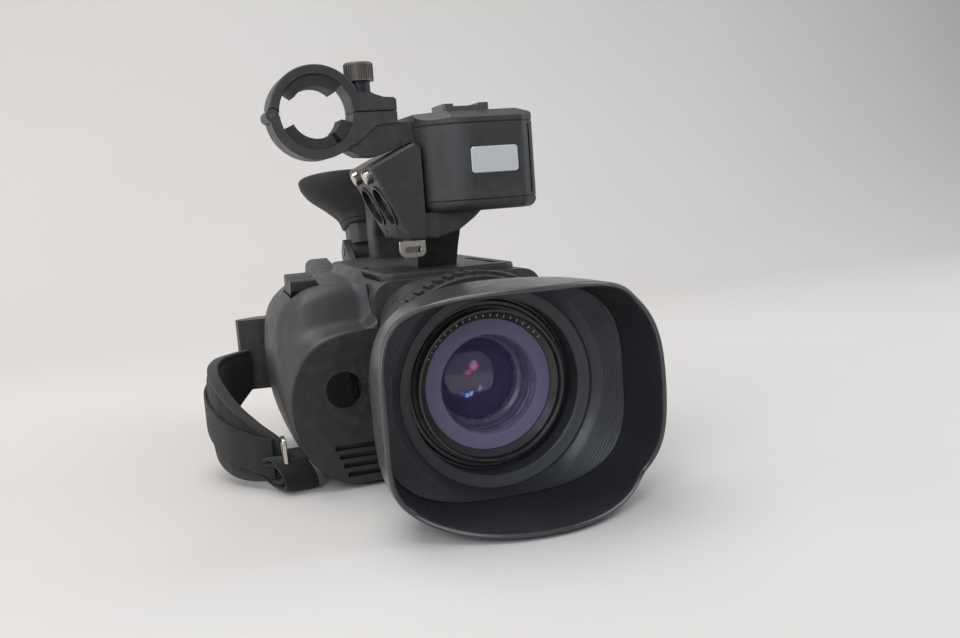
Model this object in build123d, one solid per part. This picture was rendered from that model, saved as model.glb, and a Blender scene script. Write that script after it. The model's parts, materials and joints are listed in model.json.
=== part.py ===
from build123d import *
import os
from math import sin, cos, pi, radians, sqrt, atan2

# ---------------------------------------------------------------------------
# Handheld camcorder with a rigid lens hood, carrying handle, microphone ring,
# twin audio inputs, fold-out screen, tilting viewfinder and hand belt.
# Millimetres. Working axes: lens axis along Y through x=0, z=0, front towards
# -Y, up +Z. On export everything is moved so the tripod socket mouth is the
# origin and the base plate rests on z=0.
# ---------------------------------------------------------------------------
FILTER_R = 31.0            # radius of the 62 mm filter thread
BARREL_R = 36.0            # lens barrel outside radius
RUN = 0.05                 # radial running clearance of rings and pins
BODY_X0, BODY_X1 = -36.0, 46.0
BODY_Y0, BODY_Y1 = 50.0, 189.0
BODY_Z0, BODY_Z1 = -44.5, 43.5
WALL = 2.4
FLOOR_Z = -47.5            # underside of the base plate
SOCKET_Y = 75.0            # tripod socket position along the lens axis
SOCKET_R = 3.175           # 1/4 inch camera screw
HOOD_W, HOOD_H = 58.0, 46.3
HOOD_WALL = 2.1
MIC_X, MIC_Z = -51.2, 122.0
MIC_RO, MIC_RI, MIC_PAD_R = 21.3, 16.8, 11.8
MIC_Y0, MIC_Y1 = 65.0, 84.5
SPLIT_Z = 121.0
CLAMP_X = -28.5            # knob axis
VF_Y, VF_Z, VF_TILT = 212.0, 50.0, 75.0
GRIP_FRONT = 45.6
KNOB_R = 6.9
XLR_P3, XLR_P4 = (-31.0, 95.5), (-14.5, 61.0)
SHIFT = Location((0, -SOCKET_Y, -FLOOR_Z))

nodes = {}


# ------------------------------ helpers ------------------------------------
def bx(x0, x1, y0, y1, z0, z1):
    return Pos((x0 + x1) / 2, (y0 + y1) / 2, (z0 + z1) / 2) * Box(x1 - x0, y1 - y0, z1 - z0)


def cyl(r, p, d, h):
    """cylinder of radius r from point p along direction d for length h"""
    pl = Plane(origin=p, z_dir=d)
    return extrude(pl * Circle(r), amount=h)


def cy(r, y0, y1, x=0.0, z=0.0):
    return cyl(r, (x, y0, z), (0, 1, 0), y1 - y0)


def cz(r, z0, z1, x, y):
    return cyl(r, (x, y, z0), (0, 0, 1), z1 - z0)


def cx(r, x0, x1, y, z):
    return cyl(r, (x0, y, z), (1, 0, 0), x1 - x0)


def tube_y(ro, ri, y0, y1, x=0.0, z=0.0):
    return cy(ro, y0, y1, x, z) - cy(ri, y0 - 1, y1 + 1, x, z)


def poly_xz(pts, y0, y1):
    f = make_face(Polyline(*[(x, y0, z) for x, z in pts], close=True).edges())
    return extrude(f, amount=y1 - y0, dir=(0, 1, 0))


def poly_yz(pts, x0, x1):
    f = make_face(Polyline(*[(x0, y, z) for y, z in pts], close=True).edges())
    return extrude(f, amount=x1 - x0, dir=(1, 0, 0))


def poly_xy(pts, z0, z1):
    f = make_face(Polyline(*[(x, y, z0) for x, y in pts], close=True).edges())
    return extrude(f, amount=z1 - z0, dir=(0, 0, 1))


def fil(s, pick, *radii):
    """fillet the picked edges with the first radius that works"""
    for r in radii:
        try:
            e = pick(s)
            if len(e) == 0:
                return s
            t = fillet(e, r)
            if t.volume > 0 and t.is_valid:
                return t
        except Exception:
            pass
    return s


def cham(s, pick, *sizes):
    for r in sizes:
        try:
            e = pick(s)
            if len(e) == 0:
                return s
            t = chamfer(e, r)
            if t.volume > 0 and t.is_valid:
                return t
        except Exception:
            pass
    return s


def ring_wire(y, pts):
    return Wire([Edge.make_spline([Vector(x, y, z) for x, z in pts], periodic=True)])


def sup(a, b, n=2.0, m=2.0, cx0=0.0, cz0=0.0, count=32):
    """points of |x/a|^n + |z/b|^m = 1"""
    out = []
    for k in range(count):
        t = 2 * pi * k / count
        c, s = cos(t), sin(t)
        lo, hi = 0.0, 2.0 * max(a, b)
        for _ in range(50):
            r = (lo + hi) / 2
            if abs(r * c / a) ** n + abs(r * s / b) ** m < 1:
                lo = r
            else:
                hi = r
        out.append((cx0 + lo * c, cz0 + lo * s))
    return out


def lofted(sections):
    return Solid.make_loft([ring_wire(y, p) for y, p in sections])


def put(name, s, color=None):
    nodes[name] = s


# --------------------------- lens and its barrel ---------------------------
barrel = tube_y(BARREL_R, 33.6, 3.0, 59.8)
barrel = cham(barrel, lambda s: s.edges().filter_by(GeomType.CIRCLE).group_by(Axis.Y)[0], 0.6, 0.3)
barrel = barrel - tube_y(40, BARREL_R - 0.5, 6.2, 6.8) - tube_y(40, BARREL_R - 0.5, 8.4, 9.0)
put("lens_barrel", barrel)

# front retaining ring with the 62 mm thread bore and a sloped index face
prof = [(32.3, -2.4), (32.3, 3.0), (33.55, 3.0), (33.55, 7.0), (27.6, 7.0), (27.6, 5.3),
        (28.15, 5.3), (28.15, 2.3), (FILTER_R, 0.9), (FILTER_R, -2.0), (31.4, -2.4)]
f = make_face(Polyline(*[(r, y, 0) for r, y in prof], close=True).edges())
put("filter_ring", revolve(f, Axis.Y, 360))

# front meniscus element
fe = cy(28.1, -3.0, 5.2) & (Pos(0, 201.1, 0) * Sphere(200.0))
fe = fe - Pos(0, 68.2, 0) * Sphere(65.0)
put("front_element", fe)

# stepped black baffle behind it
prof = [(33.5, 7.1), (33.5, 44.0), (13.2, 44.0), (13.2, 34.2), (15.2, 34.2), (15.2, 27.0), (16.6, 26.0),
        (16.6, 21.8), (18.3, 21.8), (18.3, 17.2), (20.2, 16.4), (20.2, 12.6), (20.9, 12.2), (20.9, 9.0),
        (21.6, 8.6), (21.6, 7.6), (23.2, 7.1)]
f = make_face(Polyline(*[(r, y, 0) for r, y in prof], close=True).edges())
put("lens_baffle", revolve(f, Axis.Y, 360))

l1 = [Polyline((0, 21.7, 0), (0, 17.0, 0)), ThreePointArc((0, 17.0, 0), (9.0, 17.5, 0), (18.0, 19.0, 0)),
      Polyline((18.0, 19.0, 0), (18.0, 21.7, 0), (0, 21.7, 0))]
f1 = make_face(Curve() + [e for c in l1 for e in c.edges()])
l2 = [Polyline((0, 34.0, 0), (0, 28.0, 0)), ThreePointArc((0, 28.0, 0), (7.5, 28.6, 0), (15.0, 30.6, 0)),
      Polyline((15.0, 30.6, 0), (15.0, 34.0, 0), (0, 34.0, 0))]
f2 = make_face(Curve() + [e for c in l2 for e in c.edges()])
put("inner_lens_group", [revolve(f1, Axis.Y, 360), revolve(f2, Axis.Y, 360)])

# focus ring: carrier with ribbed rubber grip, runs on the barrel
ring = tube_y(46.2, BARREL_R + RUN, 11.0, 25.6)
ring = cham(ring, lambda s: s.edges().filter_by(GeomType.CIRCLE), 0.8, 0.4)
ribs = []
for k in range(60):
    a = 360.0 * k / 60
    r = Rot(0, a, 0) * Pos(46.75, 18.3, 0) * Box(1.9, 10.4, 2.4)
    ribs.append(r)
ring = ring + ribs
put("focus_ring", ring)

# body collar that carries the barrel and blends into the casing
col = lofted([(27.0, sup(44.6, 44.0, 2, 2, 0, 0)), (33.0, sup(45.6, 44.8, 2.1, 2.1, 0.4, 0)),
              (42.0, sup(42.5, 45.4, 2.8, 2.8, 3.6, 0.2)), (49.9, sup(40.3, 43.6, 4.2, 4.2, 5.0, -0.4))])
col = col - cy(BARREL_R, 20, 60)
col = col - (tube_y(60, 45.0, 33.8, 34.3) & bx(-60, 60, 30, 40, 0, 60))
put("lens_collar", col)

# sensor block and main board inside the casing
sb = bx(-19, 19, 64, 70, -19, 19) - cy(12, 60, 80) + bx(-16, 16, 70, 88, -16, 16) - cy(12, 60, 74)
for z in range(5):
    sb = sb - bx(-20, 20, 76, 90, -14 + 6 * z, -12 + 6 * z) if z else sb
put("sensor_block", sb)
mb = bx(10, 11.6, 96, 180, -32, 34) + bx(11.6, 14, 110, 126, -6, 10) + bx(11.6, 13.6, 136, 148, 4, 16) + \
    bx(11.6, 15.6, 152, 158, -20, -4) + bx(7.5, 10, 116, 132, -20, -6) + bx(11.6, 17.6, 100, 106, -26, 20)
put("main_board", mb)

# ------------------------------- casing ------------------------------------
bcx, bcz = (BODY_X0 + BODY_X1) / 2, (BODY_Z0 + BODY_Z1) / 2
bw, bh = BODY_X1 - BODY_X0, BODY_Z1 - BODY_Z0


def body_block(inset, y0, y1, r):
    pl = Plane(origin=(bcx, y0, bcz), x_dir=(1, 0, 0), z_dir=(0, -1, 0))
    return extrude(pl * RectangleRounded(bw - 2 * inset, bh - 2 * inset, r), amount=-(y1 - y0))


env = body_block(0, BODY_Y0, BODY_Y1, 9.0)
body = fil(env, lambda s: s.edges().group_by(Axis.Y)[-1], 3.0, 2.0, 1.0)
body = body - body_block(WALL, BODY_Y0 + WALL, BODY_Y1 - WALL, 6.6)
body = body - cy(BARREL_R, 40, 60)
# screen recess on the left side with its floor, lined from inside
LCD_Y0, LCD_Y1, LCD_Z0, LCD_Z1 = 66.6, 166.0, -15.5, 37.5
recess = bx(38.2, 60, LCD_Y0, LCD_Y1, LCD_Z0, LCD_Z1)
body = body + bx(35.8, 45.0, LCD_Y0 - 2.4, LCD_Y1 + 2.4, LCD_Z0 - 2.4, LCD_Z1 + 2.4) - recess
# memory card bay below the screen
SD_Y0, SD_Y1, SD_Z0, SD_Z1 = 100.0, 146.0, -34.5, -19.5
body = body + bx(38.0, 45.0, SD_Y0 - 2, SD_Y1 + 2, SD_Z0 - 1.6, SD_Z1 + 1.3) - bx(41.0, 60, SD_Y0 - 0.2, SD_Y1 + 0.2, SD_Z0 - 0.2, SD_Z1 + 0.2)
body = body - bx(39.2, 50, 103, 105.4, -32, -22) + Part() - bx(39.2, 50, 112, 140, -29.4, -26.6)
body = body - cx(2.35, 35, 45, 120, -60)
# dial, switch and knob pockets
DIAL = (40.6, 61.0, -24.0, 8.0)
body = body - cz(DIAL[3] + 0.5, DIAL[2] - 3.1, DIAL[2] + 3.1, DIAL[0], DIAL[1])
body = body - bx(44.7, 60, 54.0, 61.0, 0.0, 22.0)
for kz in (22.0, 4.0):
    body = body - cx(5.9, 44.4, 60, 176.5, kz)
# cooling slots low on the left side, speaker holes behind the knobs
for k in range(6):
    body = body - bx(40, 60, 152 + 4 * k, 154 + 4 * k, -33, -22)
for i in range(3):
    for j in range(3):
        body = body - cx(0.9, 43, 60, 172 + 4 * i, -13 + 4 * j)
# tripod boss hole, foot
body = body - cz(6.5, -50, -40, 0, SOCKET_Y) - cz(2.3, -50, -41, 0, SOCKET_Y + 18)
left = body & bx(5, 60, 40, 200, -60, 60)
right = body & bx(-60, 5, 40, 200, -60, 60)
# seam groove
left = left - bx(5, 5.5, 40, 200, BODY_Z1 - 0.6, 60)
put("main_body_left_shell", left)
put("main_body_right_shell", right)

# top deck under the handle
tc = bx(-30, 37, 57, 186, BODY_Z1, 46.5)
tc = fil(tc, lambda s: s.edges().filter_by(Axis.Z), 7, 4)
tc = fil(tc, lambda s: s.edges().group_by(Axis.Z)[-1], 1.6, 1.0)
tc = tc - bx(-27, -24, 66, 112, 45.9, 50) - bx(28, 31, 66, 112, 45.9, 50)
put("top_cover", tc)

# base plate with the tripod socket
bp = bx(-28, 38, 56, 178, FLOOR_Z, BODY_Z0)
bp = fil(bp, lambda s: s.edges().filter_by(Axis.Z), 7, 4)
bp = cham(bp, lambda s: s.edges().group_by(Axis.Z)[0], 0.6, 0.4)
bp = bp - cz(6.5, -60, -40, 0, SOCKET_Y) - cz(2.3, -60, -40, 0, SOCKET_Y + 18)
for gx in (-22, -18, 24, 28, 32):
    bp = bp - bx(gx, gx + 1.2, 64, 168, FLOOR_Z - 1, FLOOR_Z + 0.5)
put("base_plate", bp)
ts = cz(6.5, FLOOR_Z, -41.6, 0, SOCKET_Y) + cz(9.0, -42.1, -36.0, 0, SOCKET_Y)
ts = ts - cz(SOCKET_R, FLOOR_Z - 1, -37.8, 0, SOCKET_Y)
ts = cham(ts, lambda s: s.edges().filter_by(GeomType.CIRCLE).group_by(Axis.Z)[0].sort_by(SortBy.LENGTH)[:1], 0.4, 0.2)
put("tripod_socket", ts)

# ----------------------------- hand grip -----------------------------------
G = {
    45.6: [(-30, 24), (-42, 24), (-54, 22.5), (-66, 18), (-74.5, 8), (-78, -6), (-77, -20), (-71, -33), (-61, -42.5), (-50, -45.3), (-40, -45.4), (-30, -45.4)],
    56.0: [(-30, 34), (-42, 35), (-54.3, 34), (-66.5, 29), (-75.9, 18), (-80.2, 2), (-78.8, -15), (-73.1, -30), (-63.7, -41), (-51.4, -45.3), (-40, -45.4), (-30, -45.4)],
    74.0: [(-30, 42), (-42, 43.5), (-54.6, 43.5), (-67.3, 40), (-77.2, 29), (-81.0, 8), (-79.5, -13), (-73.6, -30), (-63.7, -41), (-51.0, -45.3), (-40, -45.4), (-30, -45.4)],
    100.0: [(-30, 43), (-42, 45), (-54.4, 45), (-66.8, 42), (-77.0, 31), (-80.5, 9), (-78.7, -13), (-72.5, -30), (-62.4, -41), (-50.9, -45.2), (-40, -45.4), (-30, -45.4)],
    135.0: [(-30, 42), (-42, 44), (-53.5, 43.5), (-64.9, 39), (-74.2, 28), (-77.3, 7), (-75.5, -13), (-69.4, -30), (-59.6, -40.5), (-49.1, -45.0), (-40, -45.4), (-30, -45.4)],
    165.0: [(-30, 38), (-42, 38), (-51.8, 36.5), (-60.7, 31), (-67.8, 21), (-70.5, 4), (-68.7, -13), (-63.4, -28), (-55.4, -38.5), (-46.5, -43.5), (-39, -45.0), (-30, -45.4)],
}


def shrink(pts, d):
    cx0 = sum(p[0] for p in pts) / len(pts)
    cz0 = sum(p[1] for p in pts) / len(pts)
    out = []
    for x, z in pts:
        l = sqrt((x - cx0) ** 2 + (z - cz0) ** 2)
        k = (l - d) / l
        out.append((cx0 + (x - cx0) * k, cz0 + (z - cz0) * k))
    return out


grip_env = lofted([(y, G[y]) for y in sorted(G)])
gi = lofted([(y if 50 < y < 160 else (43.0 if y < 50 else 162.5), shrink(G[y], 3.0)) for y in sorted(G)])
# control hump at the rear of the grip top, with a sloped front
hump = poly_yz([(112, 40), (126, 50.5), (158, 50.5), (164, 44), (164, 34), (112, 34)], -50, -30.0)
hump = fil(hump, lambda s: s.edges().filter_by(Axis.X), 2.0, 1.0)
hump = cham(hump, lambda s: s.faces().sort_by(Axis.X)[0].edges(), 3.0, 2.0, 1.0)
grip = grip_env - gi + hump
body_cut = bx(BODY_X0, 60, 40, 200, -60, 60)
grip = grip - body_cut
grip = grip - (gi & bx(-90, -36, 50, 162, -60, 60))
# lever pocket on top
LV = (-63.0, 86.0, 36.0)
pocket = bx(-70, -56, 73.5, 98.5, 32.5, 60)
grip = grip + (bx(-73.5, -53.0, 71.0, 101.0, 30.5, 46) & grip_env) - pocket - cx(1.55, -72.2, -53.8, LV[1], LV[2])
# oval control ahead of the lever
oval = Pos(-61, 67, 38) * extrude(SlotOverall(11, 5), 12)
grip = grip - (oval & bx(-80, -40, 60, 75, 42.6, 60))
# record button pocket at the rear
RB = (-55.0, 5.0)
grip = grip + (cy(9.0, 158, 165, RB[0], RB[1])) - cy(6.35, 159.5, 170, RB[0], RB[1])
# flat at the bottom and the front opening
grip = grip - bx(-100, 0, 40, 200, -60, -45.3)
gs = grip.solids()
grip = max(gs, key=lambda s: s.volume)
put("grip_housing", grip)

# front panel of the grip with window hole and four cooling slots
pf = Face(ring_wire(GRIP_FRONT, [(x, z) for x, z in G[45.6]]))
panel = extrude(pf, amount=3.4, dir=(0, -1, 0)) - bx(BODY_X0 - 0.3, 60, 30, 60, -60, 60) - bx(-100, 0, 30, 60, -60, -45.3)
panel = panel - lofted([(27.0, sup(45.0, 44.4, 2, 2, 0, 0)), (33.0, sup(46.0, 45.2, 2.1, 2.1, 0.4, 0)),
                        (42.0, sup(42.9, 45.8, 2.8, 2.8, 3.6, 0.2)), (49.9, sup(40.7, 44.0, 4.2, 4.2, 5.0, -0.4))])
panel = max(panel.solids(), key=lambda s: s.volume)
panel = fil(panel, lambda s: s.edges().group_by(Axis.Y)[0], 2.0, 1.2, 0.8)
WIN = (-54.6, -1.8, 8.2)
panel = panel - cy(WIN[2], 30, 60, WIN[0], WIN[1])
for k in range(4):
    z = -28.0 - 4.2 * k
    x0 = -61.0 + 1.6 * k
    s = bx(x0, -40, 30, 60, z - 1.1, z + 1.1)
    panel = panel - s
put("grip_front_panel", panel)
w = cy(WIN[2], 43.2, 45.6, WIN[0], WIN[1]) + cy(WIN[2] + 1.6, 45.6, 47.0, WIN[0], WIN[1])
put("grip_window", w)

# zoom lever: rocking key on its own pin
zl = poly_yz([(76.5, 41.0), (76.5, 45.4), (78.0, 46.6), (82.0, 45.4), (85.5, 45.6), (87.5, 47.4), (93.5, 48.4), (95.5, 47.0), (95.5, 41.0), (90, 34.4), (82, 34.4)], -69.2, -56.8)
zl = fil(zl, lambda s: s.edges().filter_by(Axis.X).filter_by(lambda e: e.center().Z > 45), 0.8, 0.4)
zl = zl + cx(1.5, -71.9, -54.1, LV[1], LV[2])
put("zoom_lever", zl)
rb = cy(6.0, 160.6, 167.0, RB[0], RB[1])
rb = fil(rb, lambda s: s.edges().group_by(Axis.Y)[-1], 1.0, 0.5)
rb = rb - cy(3.6, 166.4, 170, RB[0], RB[1])
put("record_button", rb)

# --------------------------- hand belt and hardware ------------------------
# centre line of the pad: x, y, z, half height, thickness
PAD = [(-84.5, 60.5, -32.0, 8.5, 3.0), (-91.5, 68.0, -30.5, 12.5, 4.5), (-100.0, 80.0, -26.5, 16.5, 6.5),
       (-105.5, 94.0, -20.5, 19.0, 7.0), (-106.5, 108.0, -15.0, 18.5, 7.0), (-102.5, 121.0, -10.0, 16.0, 6.5),
       (-94.0, 131.0, -6.0, 12.5, 5.0), (-87.2, 136.6, -3.0, 10.0, 4.0)]


def pad_frame(i, path):
    a = path[max(i - 1, 0)]
    b = path[min(i + 1, len(path) - 1)]
    tx, ty = b[0] - a[0], b[1] - a[1]
    l = sqrt(tx * tx + ty * ty)
    return tx / l, ty / l


def pad_wire(i, path, off=0.0, thick=None, half=None):
    x, y, z, h, t = path[i]
    if thick is not None:
        t = thick
    if half is not None:
        h = half
    tx, ty = pad_frame(i, path)
    nx, ny = ty, -tx          # local thickness direction
    pts = []
    for k in range(16):
        a = 2 * pi * k / 16
        c, s = cos(a), sin(a)
        u = (abs(c) ** 0.55) * (1 if c >= 0 else -1) * t / 2
        v = (abs(s) ** 0.45) * (1 if s >= 0 else -1) * h
        # outward side is the side away from the grip
        pts.append(Vector(x + nx * (u + off), y + ny * (u + off), z + v))
    return Wire([Edge.make_spline(pts, periodic=True)])


pad = Solid.make_loft([pad_wire(i, PAD) for i in range(len(PAD))])
put("hand_belt_pad", pad)
# webbing lying on the outside of the pad, running from the ring past the pad
tx0, ty0 = pad_frame(3, PAD)
side = -1.0 if (ty0 * 1.0) > 0 else 1.0
STRAP = [(p[0], p[1], p[2], 9.0, 1.6) for p in PAD[:6]]
offs = [-(PAD[i][4] / 2 + 1.25) for i in range(6)]


def strap_wire(i):
    return pad_wire(i, STRAP, off=offs[i])


strap = Solid.make_loft([strap_wire(i) for i in range(6)])
put("belt_strap", strap)

# rear anchor block on the grip
an = poly_xy([(-70, 138.5), (-79, 139.2), (-89.2, 141.0), (-90.2, 146.5), (-79.5, 152.5), (-64, 153)], -14, 23)
an = fil(an, lambda s: s.edges().filter_by(Axis.Z).group_by(Axis.X)[0], 1.5, 0.8)
an = an - grip_env
an = max(an.solids(), key=lambda s: s.volume)
# metal ring at the front, held by a small lug
rg = poly_yz([(50.0, -41.0), (60.5, -41.0), (60.5, -22.0), (50.0, -22.0)], -83.2, -81.2)
rg = fil(rg, lambda s: s.edges().filter_by(Axis.X), 3.0, 2.0)
ri = poly_yz([(52.2, -38.8), (58.3, -38.8), (58.3, -24.2), (52.2, -24.2)], -90, -70)
ri = fil(ri, lambda s: s.edges().filter_by(Axis.X), 1.4, 0.8)
rg = rg - ri
rg = fil(rg, lambda s: s.edges(), 0.5, 0.3)
put("belt_ring", rg)
# front lug of the grip and the folded tail of the strap
lug = bx(-81.0, -70.0, 55.0, 59.0, -34.5, -28.5) - grip_env
lug = max(lug.solids(), key=lambda s: s.volume)
tail = lofted([(46.0, sup(8.5, 4.2, 3, 3, -75.5, -41.5, 16)), (53.0, sup(8.0, 4.4, 3, 3, -79.5, -41.8, 16)),
               (57.6, sup(4.5, 5.0, 3, 3, -83.8, -41.4, 16))]) - grip_env
tail = tail - bx(-200, 200, 0, 200, -60, -46.8) - rg
tail = max(tail.solids(), key=lambda s: s.volume)
put("belt_tail_loop", tail)
put("belt_anchor", [an, lug - rg])

# ------------------------------- handle ------------------------------------
HX0, HX1 = -6.5, 13.5
hp = [(79, 46.5), (74, 56), (68, 65), (66, 72.4), (95.2, 72.4), (95.2, 97), (170, 97), (182, 93), (188, 84),
      (188, 46.5), (171, 46.5), (170, 60), (165, 70), (156, 75), (144, 77), (124, 77), (112, 74), (106, 67), (104, 58), (106, 46.5)]
hd = poly_yz(hp, HX0, HX1)
hd = fil(hd, lambda s: s.edges().filter_by(Axis.X).filter_by(lambda e: e.center().Y > 100 and e.center().Z > 50), 5.0, 3.0, 1.5)
hd = fil(hd, lambda s: s.faces().sort_by(Axis.X)[0].edges().filter_by(lambda e: e.center().Z > 47 and e.center().Y > 96), 3.5, 2.5, 1.5, 0.8)
hd = fil(hd, lambda s: s.faces().sort_by(Axis.X)[-1].edges().filter_by(lambda e: e.center().Z > 47 and e.center().Y > 96), 3.5, 2.5, 1.5, 0.8)
hd = hd + bx(HX0 - 0.0, HX1, 79, 107, 46.5, 48.5)
# pockets for the record key and the zoom rocker on the bar
hd = hd - cz(5.3, 91.5, 110, 3.5, 112)
hd = hd - bx(-3.4, 10.4, 124.0, 148.0, 90.5, 110) - cx(1.3, -4.6, 11.6, 136.0, 95.0)
put("handle_frame", hd)
hb = cz(4.9, 92.9, 98.6, 3.5, 112)
hb = fil(hb, lambda s: s.edges().group_by(Axis.Z)[-1], 0.8, 0.4)
put("handle_record_button", hb)
hr = poly_yz([(125.6, 94.0), (125.6, 99.0), (128, 100.4), (133, 98.6), (139, 98.6), (144, 100.4), (146.4, 99.0), (146.4, 94.0), (140, 92.8), (132, 92.8)], -2.8, 9.8)
hr = hr + cx(1.25, -4.4, 11.4, 136.0, 95.0)
put("handle_zoom_rocker", hr)

# -------------------------- front microphone unit --------------------------


def plan_face(z):
    e = Polyline((13.5, 45, z), (40, 45, z), (47, 50.5, z), (47, 95, z), (-6.5, 95, z), (-6.5, 64.5, z)).edges()
    e += ThreePointArc((-6.5, 64.5, z), (-0.6, 52.4, z), (13.5, 45, z)).edges()
    return make_face(e)


def vfil(s):
    return fil(s, lambda q: q.edges().filter_by(Axis.Z).filter_by(lambda e: e.center().Y < 90), 3.5, 2.5, 1.5)


shell = vfil(extrude(plan_face(77.6), amount=35.0, dir=(0, 0, 1)))
shell_out = shell
plan_in = [(-4.1, 92.6), (-4.1, 62.5), (8.6, 49.0), (13.4, 47.4), (39.2, 47.4), (44.6, 51.7), (44.6, 92.6)]
inner = extrude(make_face(Polyline(*[(x, y, 70) for x, y in plan_in], close=True).edges()), amount=60, dir=(0, 0, 1))
shell = shell - inner
shell = cham(shell, lambda s: s.faces().sort_by(Axis.Z)[-1].outer_wire().edges(), 0.45, 0.3)
shell = cham(shell, lambda s: s.faces().sort_by(Axis.Z)[0].outer_wire().edges(), 0.45, 0.3)
shell = shell - bx(43.2, 44.2, 40, 50.0, 79, 111)
BADGE = (13.8, 36.6, 89.6, 101.6)
shell = shell - bx(BADGE[0] - 0.15, BADGE[1] + 0.15, 40, 46.0, BADGE[2] - 0.15, BADGE[3] + 0.15)
put("mic_box_shell", shell)
bd = bx(BADGE[0], BADGE[1], 44.6, 46.0, BADGE[2], BADGE[3])
bd = fil(bd, lambda s: s.edges().filter_by(Axis.Y), 1.6, 1.0)
bd = cham(bd, lambda s: s.edges().group_by(Axis.Y)[0], 0.3, 0.2)
put("badge_plate", bd)
topc = vfil(extrude(plan_face(112.6), amount=6.4, dir=(0, 0, 1)))
# long bevels toward the front, the rounded corner and the left side
topc = topc - poly_yz([(38.0, 112.6), (56.0, 119.2), (56, 123), (38, 123)], -20, 60)
topc = topc - poly_xz([(50, 114.5), (40.5, 119.2), (40.5, 123), (50, 123)], 38, 96)
topc = topc - Pos(-0.6, 52.4, 0) * Rot(0, 0, -46.4) * poly_yz([(-9, 110.2), (7.6, 119.2), (7.6, 123), (-9, 123)], -40, 40)
topc = fil(topc, lambda s: s.edges().filter_by(lambda e: e.center().Z > 114.5 and e.center().Y < 90), 0.8, 0.5)
topc = cham(topc, lambda s: s.faces().sort_by(Axis.Z)[0].outer_wire().edges(), 0.45, 0.3)
SHOE = (6.0, 28.0, 57.0, 77.0, 118.2)
topc = topc - bx(SHOE[0] - 0.1, SHOE[1] + 0.1, SHOE[2] - 0.1, 84.0, SHOE[4], 130)
put("mic_box_top_cover", topc)
botc = vfil(extrude(plan_face(72.5), amount=5.1, dir=(0, 0, 1)))
botc = fil(botc, lambda s: s.edges().group_by(Axis.Z)[0], 4.2, 3.0, 1.5)
botc = cham(botc, lambda s: s.faces().sort_by(Axis.Z)[-1].outer_wire().edges(), 0.45, 0.3)
# neck that carries the unit down toward the handle
neck = poly_xz([(-6.4, 73.0), (-6.4, 61.4), (-2.0, 60.4), (9.0, 63.4), (18.0, 69.4), (22.0, 73.0)], 57.2, 65.6)
neck = fil(neck, lambda s: s.edges().filter_by(lambda e: e.center().Z < 72.0 and e.center().X > -6), 1.4, 0.8)
botc = botc + neck
put("mic_box_bottom_cover", botc)
# accessory shoe: base, side walls and lips, with a leaf spring
sh = bx(SHOE[0], SHOE[1], SHOE[2], SHOE[3], SHOE[4], 119.2) + bx(SHOE[0], SHOE[0] + 1.6, SHOE[2], SHOE[3], 119.2, 121.2) + \
    bx(SHOE[1] - 1.6, SHOE[1], SHOE[2], SHOE[3], 119.2, 121.2) + bx(SHOE[0], SHOE[0] + 4.8, SHOE[2], SHOE[3], 121.2, 122.4) + \
    bx(SHOE[1] - 4.8, SHOE[1], SHOE[2], SHOE[3], 121.2, 122.4) + bx(SHOE[0], SHOE[1], SHOE[2], SHOE[2] + 1.4, 119.2, 121.2)
sh = fil(sh, lambda s: s.edges().filter_by(Axis.Z).group_by(Axis.X)[0], 1.0, 0.5)
put("accessory_shoe", sh)

# ------------------------ audio inputs at the side -------------------------
p3, p4 = XLR_P3, XLR_P4
xp = [(-6.5, 104.0), (-9.0, 105.6), (-16.0, 102.6), p3, p4, (-12.5, 60.6), (-6.5, 60.6)]
XY0, XY1 = 57.0, 106.0
xb = poly_xz(xp, XY0, XY1)
xb = fil(xb, lambda s: s.edges().filter_by(Axis.Y).filter_by(lambda e: e.center().X < -7), 1.8, 1.2, 0.8)
xb = fil(xb, lambda s: s.faces().sort_by(Axis.Y)[0].edges().filter_by(lambda e: e.center().X < -7), 1.6, 1.0, 0.6)
fd = ((p4[0] - p3[0]), (p4[1] - p3[1]))
fl = sqrt(fd[0] ** 2 + fd[1] ** 2)
ux, uz = fd[0] / fl, fd[1] / fl            # down along the face
nx, nz = uz, -ux                           # outward normal
mid = ((p3[0] + p4[0]) / 2 + 0.0, (p3[1] + p4[1]) / 2)
SOCK_Y = (69.5, 93.5)
sock, tabs, scr = [], [], []
N3 = (nx, 0, nz)


def along(s, out=0.0, y=0.0):
    """point on the connector face: s down the face from its middle, out along the normal"""
    return (mid[0] + ux * s + nx * out, y, mid[1] + uz * s + nz * out)


for yy in SOCK_Y:
    c = along(0.8, -15.0, yy)
    xb = xb - cyl(10.6, along(0.8, -12.2, yy), N3, 30)
    ring = cyl(10.6, along(0.8, -12.2, yy), N3, 13.0) - cyl(9.4, along(0.8, -11.0, yy), N3, 30)
    core = cyl(7.7, along(0.8, -12.2, yy), N3, 10.8)
    for k in range(3):
        a = radians(90 + 120 * k)
        q = along(0.8 + 3.4 * cos(a), -9.0, yy + 3.4 * sin(a))
        core = core - cyl(1.2, q, N3, 30)
    s = ring + core
    s = max(s.solids(), key=lambda q: q.volume)
    sock.append(s)
    xb = xb - cyl(3.7, along(-15.0, -3.4, yy - 1.5), N3, 20)
    tb = cyl(3.3, along(-15.0, -2.0, yy - 1.5), N3, 4.8)
    tb = fil(tb, lambda s: s.edges().filter_by(GeomType.CIRCLE), 0.9, 0.5)
    tabs.append(tb)
    xb = xb - cyl(2.6, along(15.2, -0.7, yy), N3, 10)
    sc = cyl(2.5, along(15.2, -3.5, yy), N3, 3.3)
    xb = xb - cyl(2.5, along(15.2, -3.5, yy), N3, 10)
    sc = sc - cyl(1.0, along(15.2, -1.4, yy), N3, 10)
    scr.append(sc)
xb = max(xb.solids(), key=lambda q: q.volume)
put("xlr_block", xb)
put("xlr_sockets", sock)
put("xlr_release_tab_front", tabs[0])
put("xlr_release_tab_rear", tabs[1])
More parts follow.
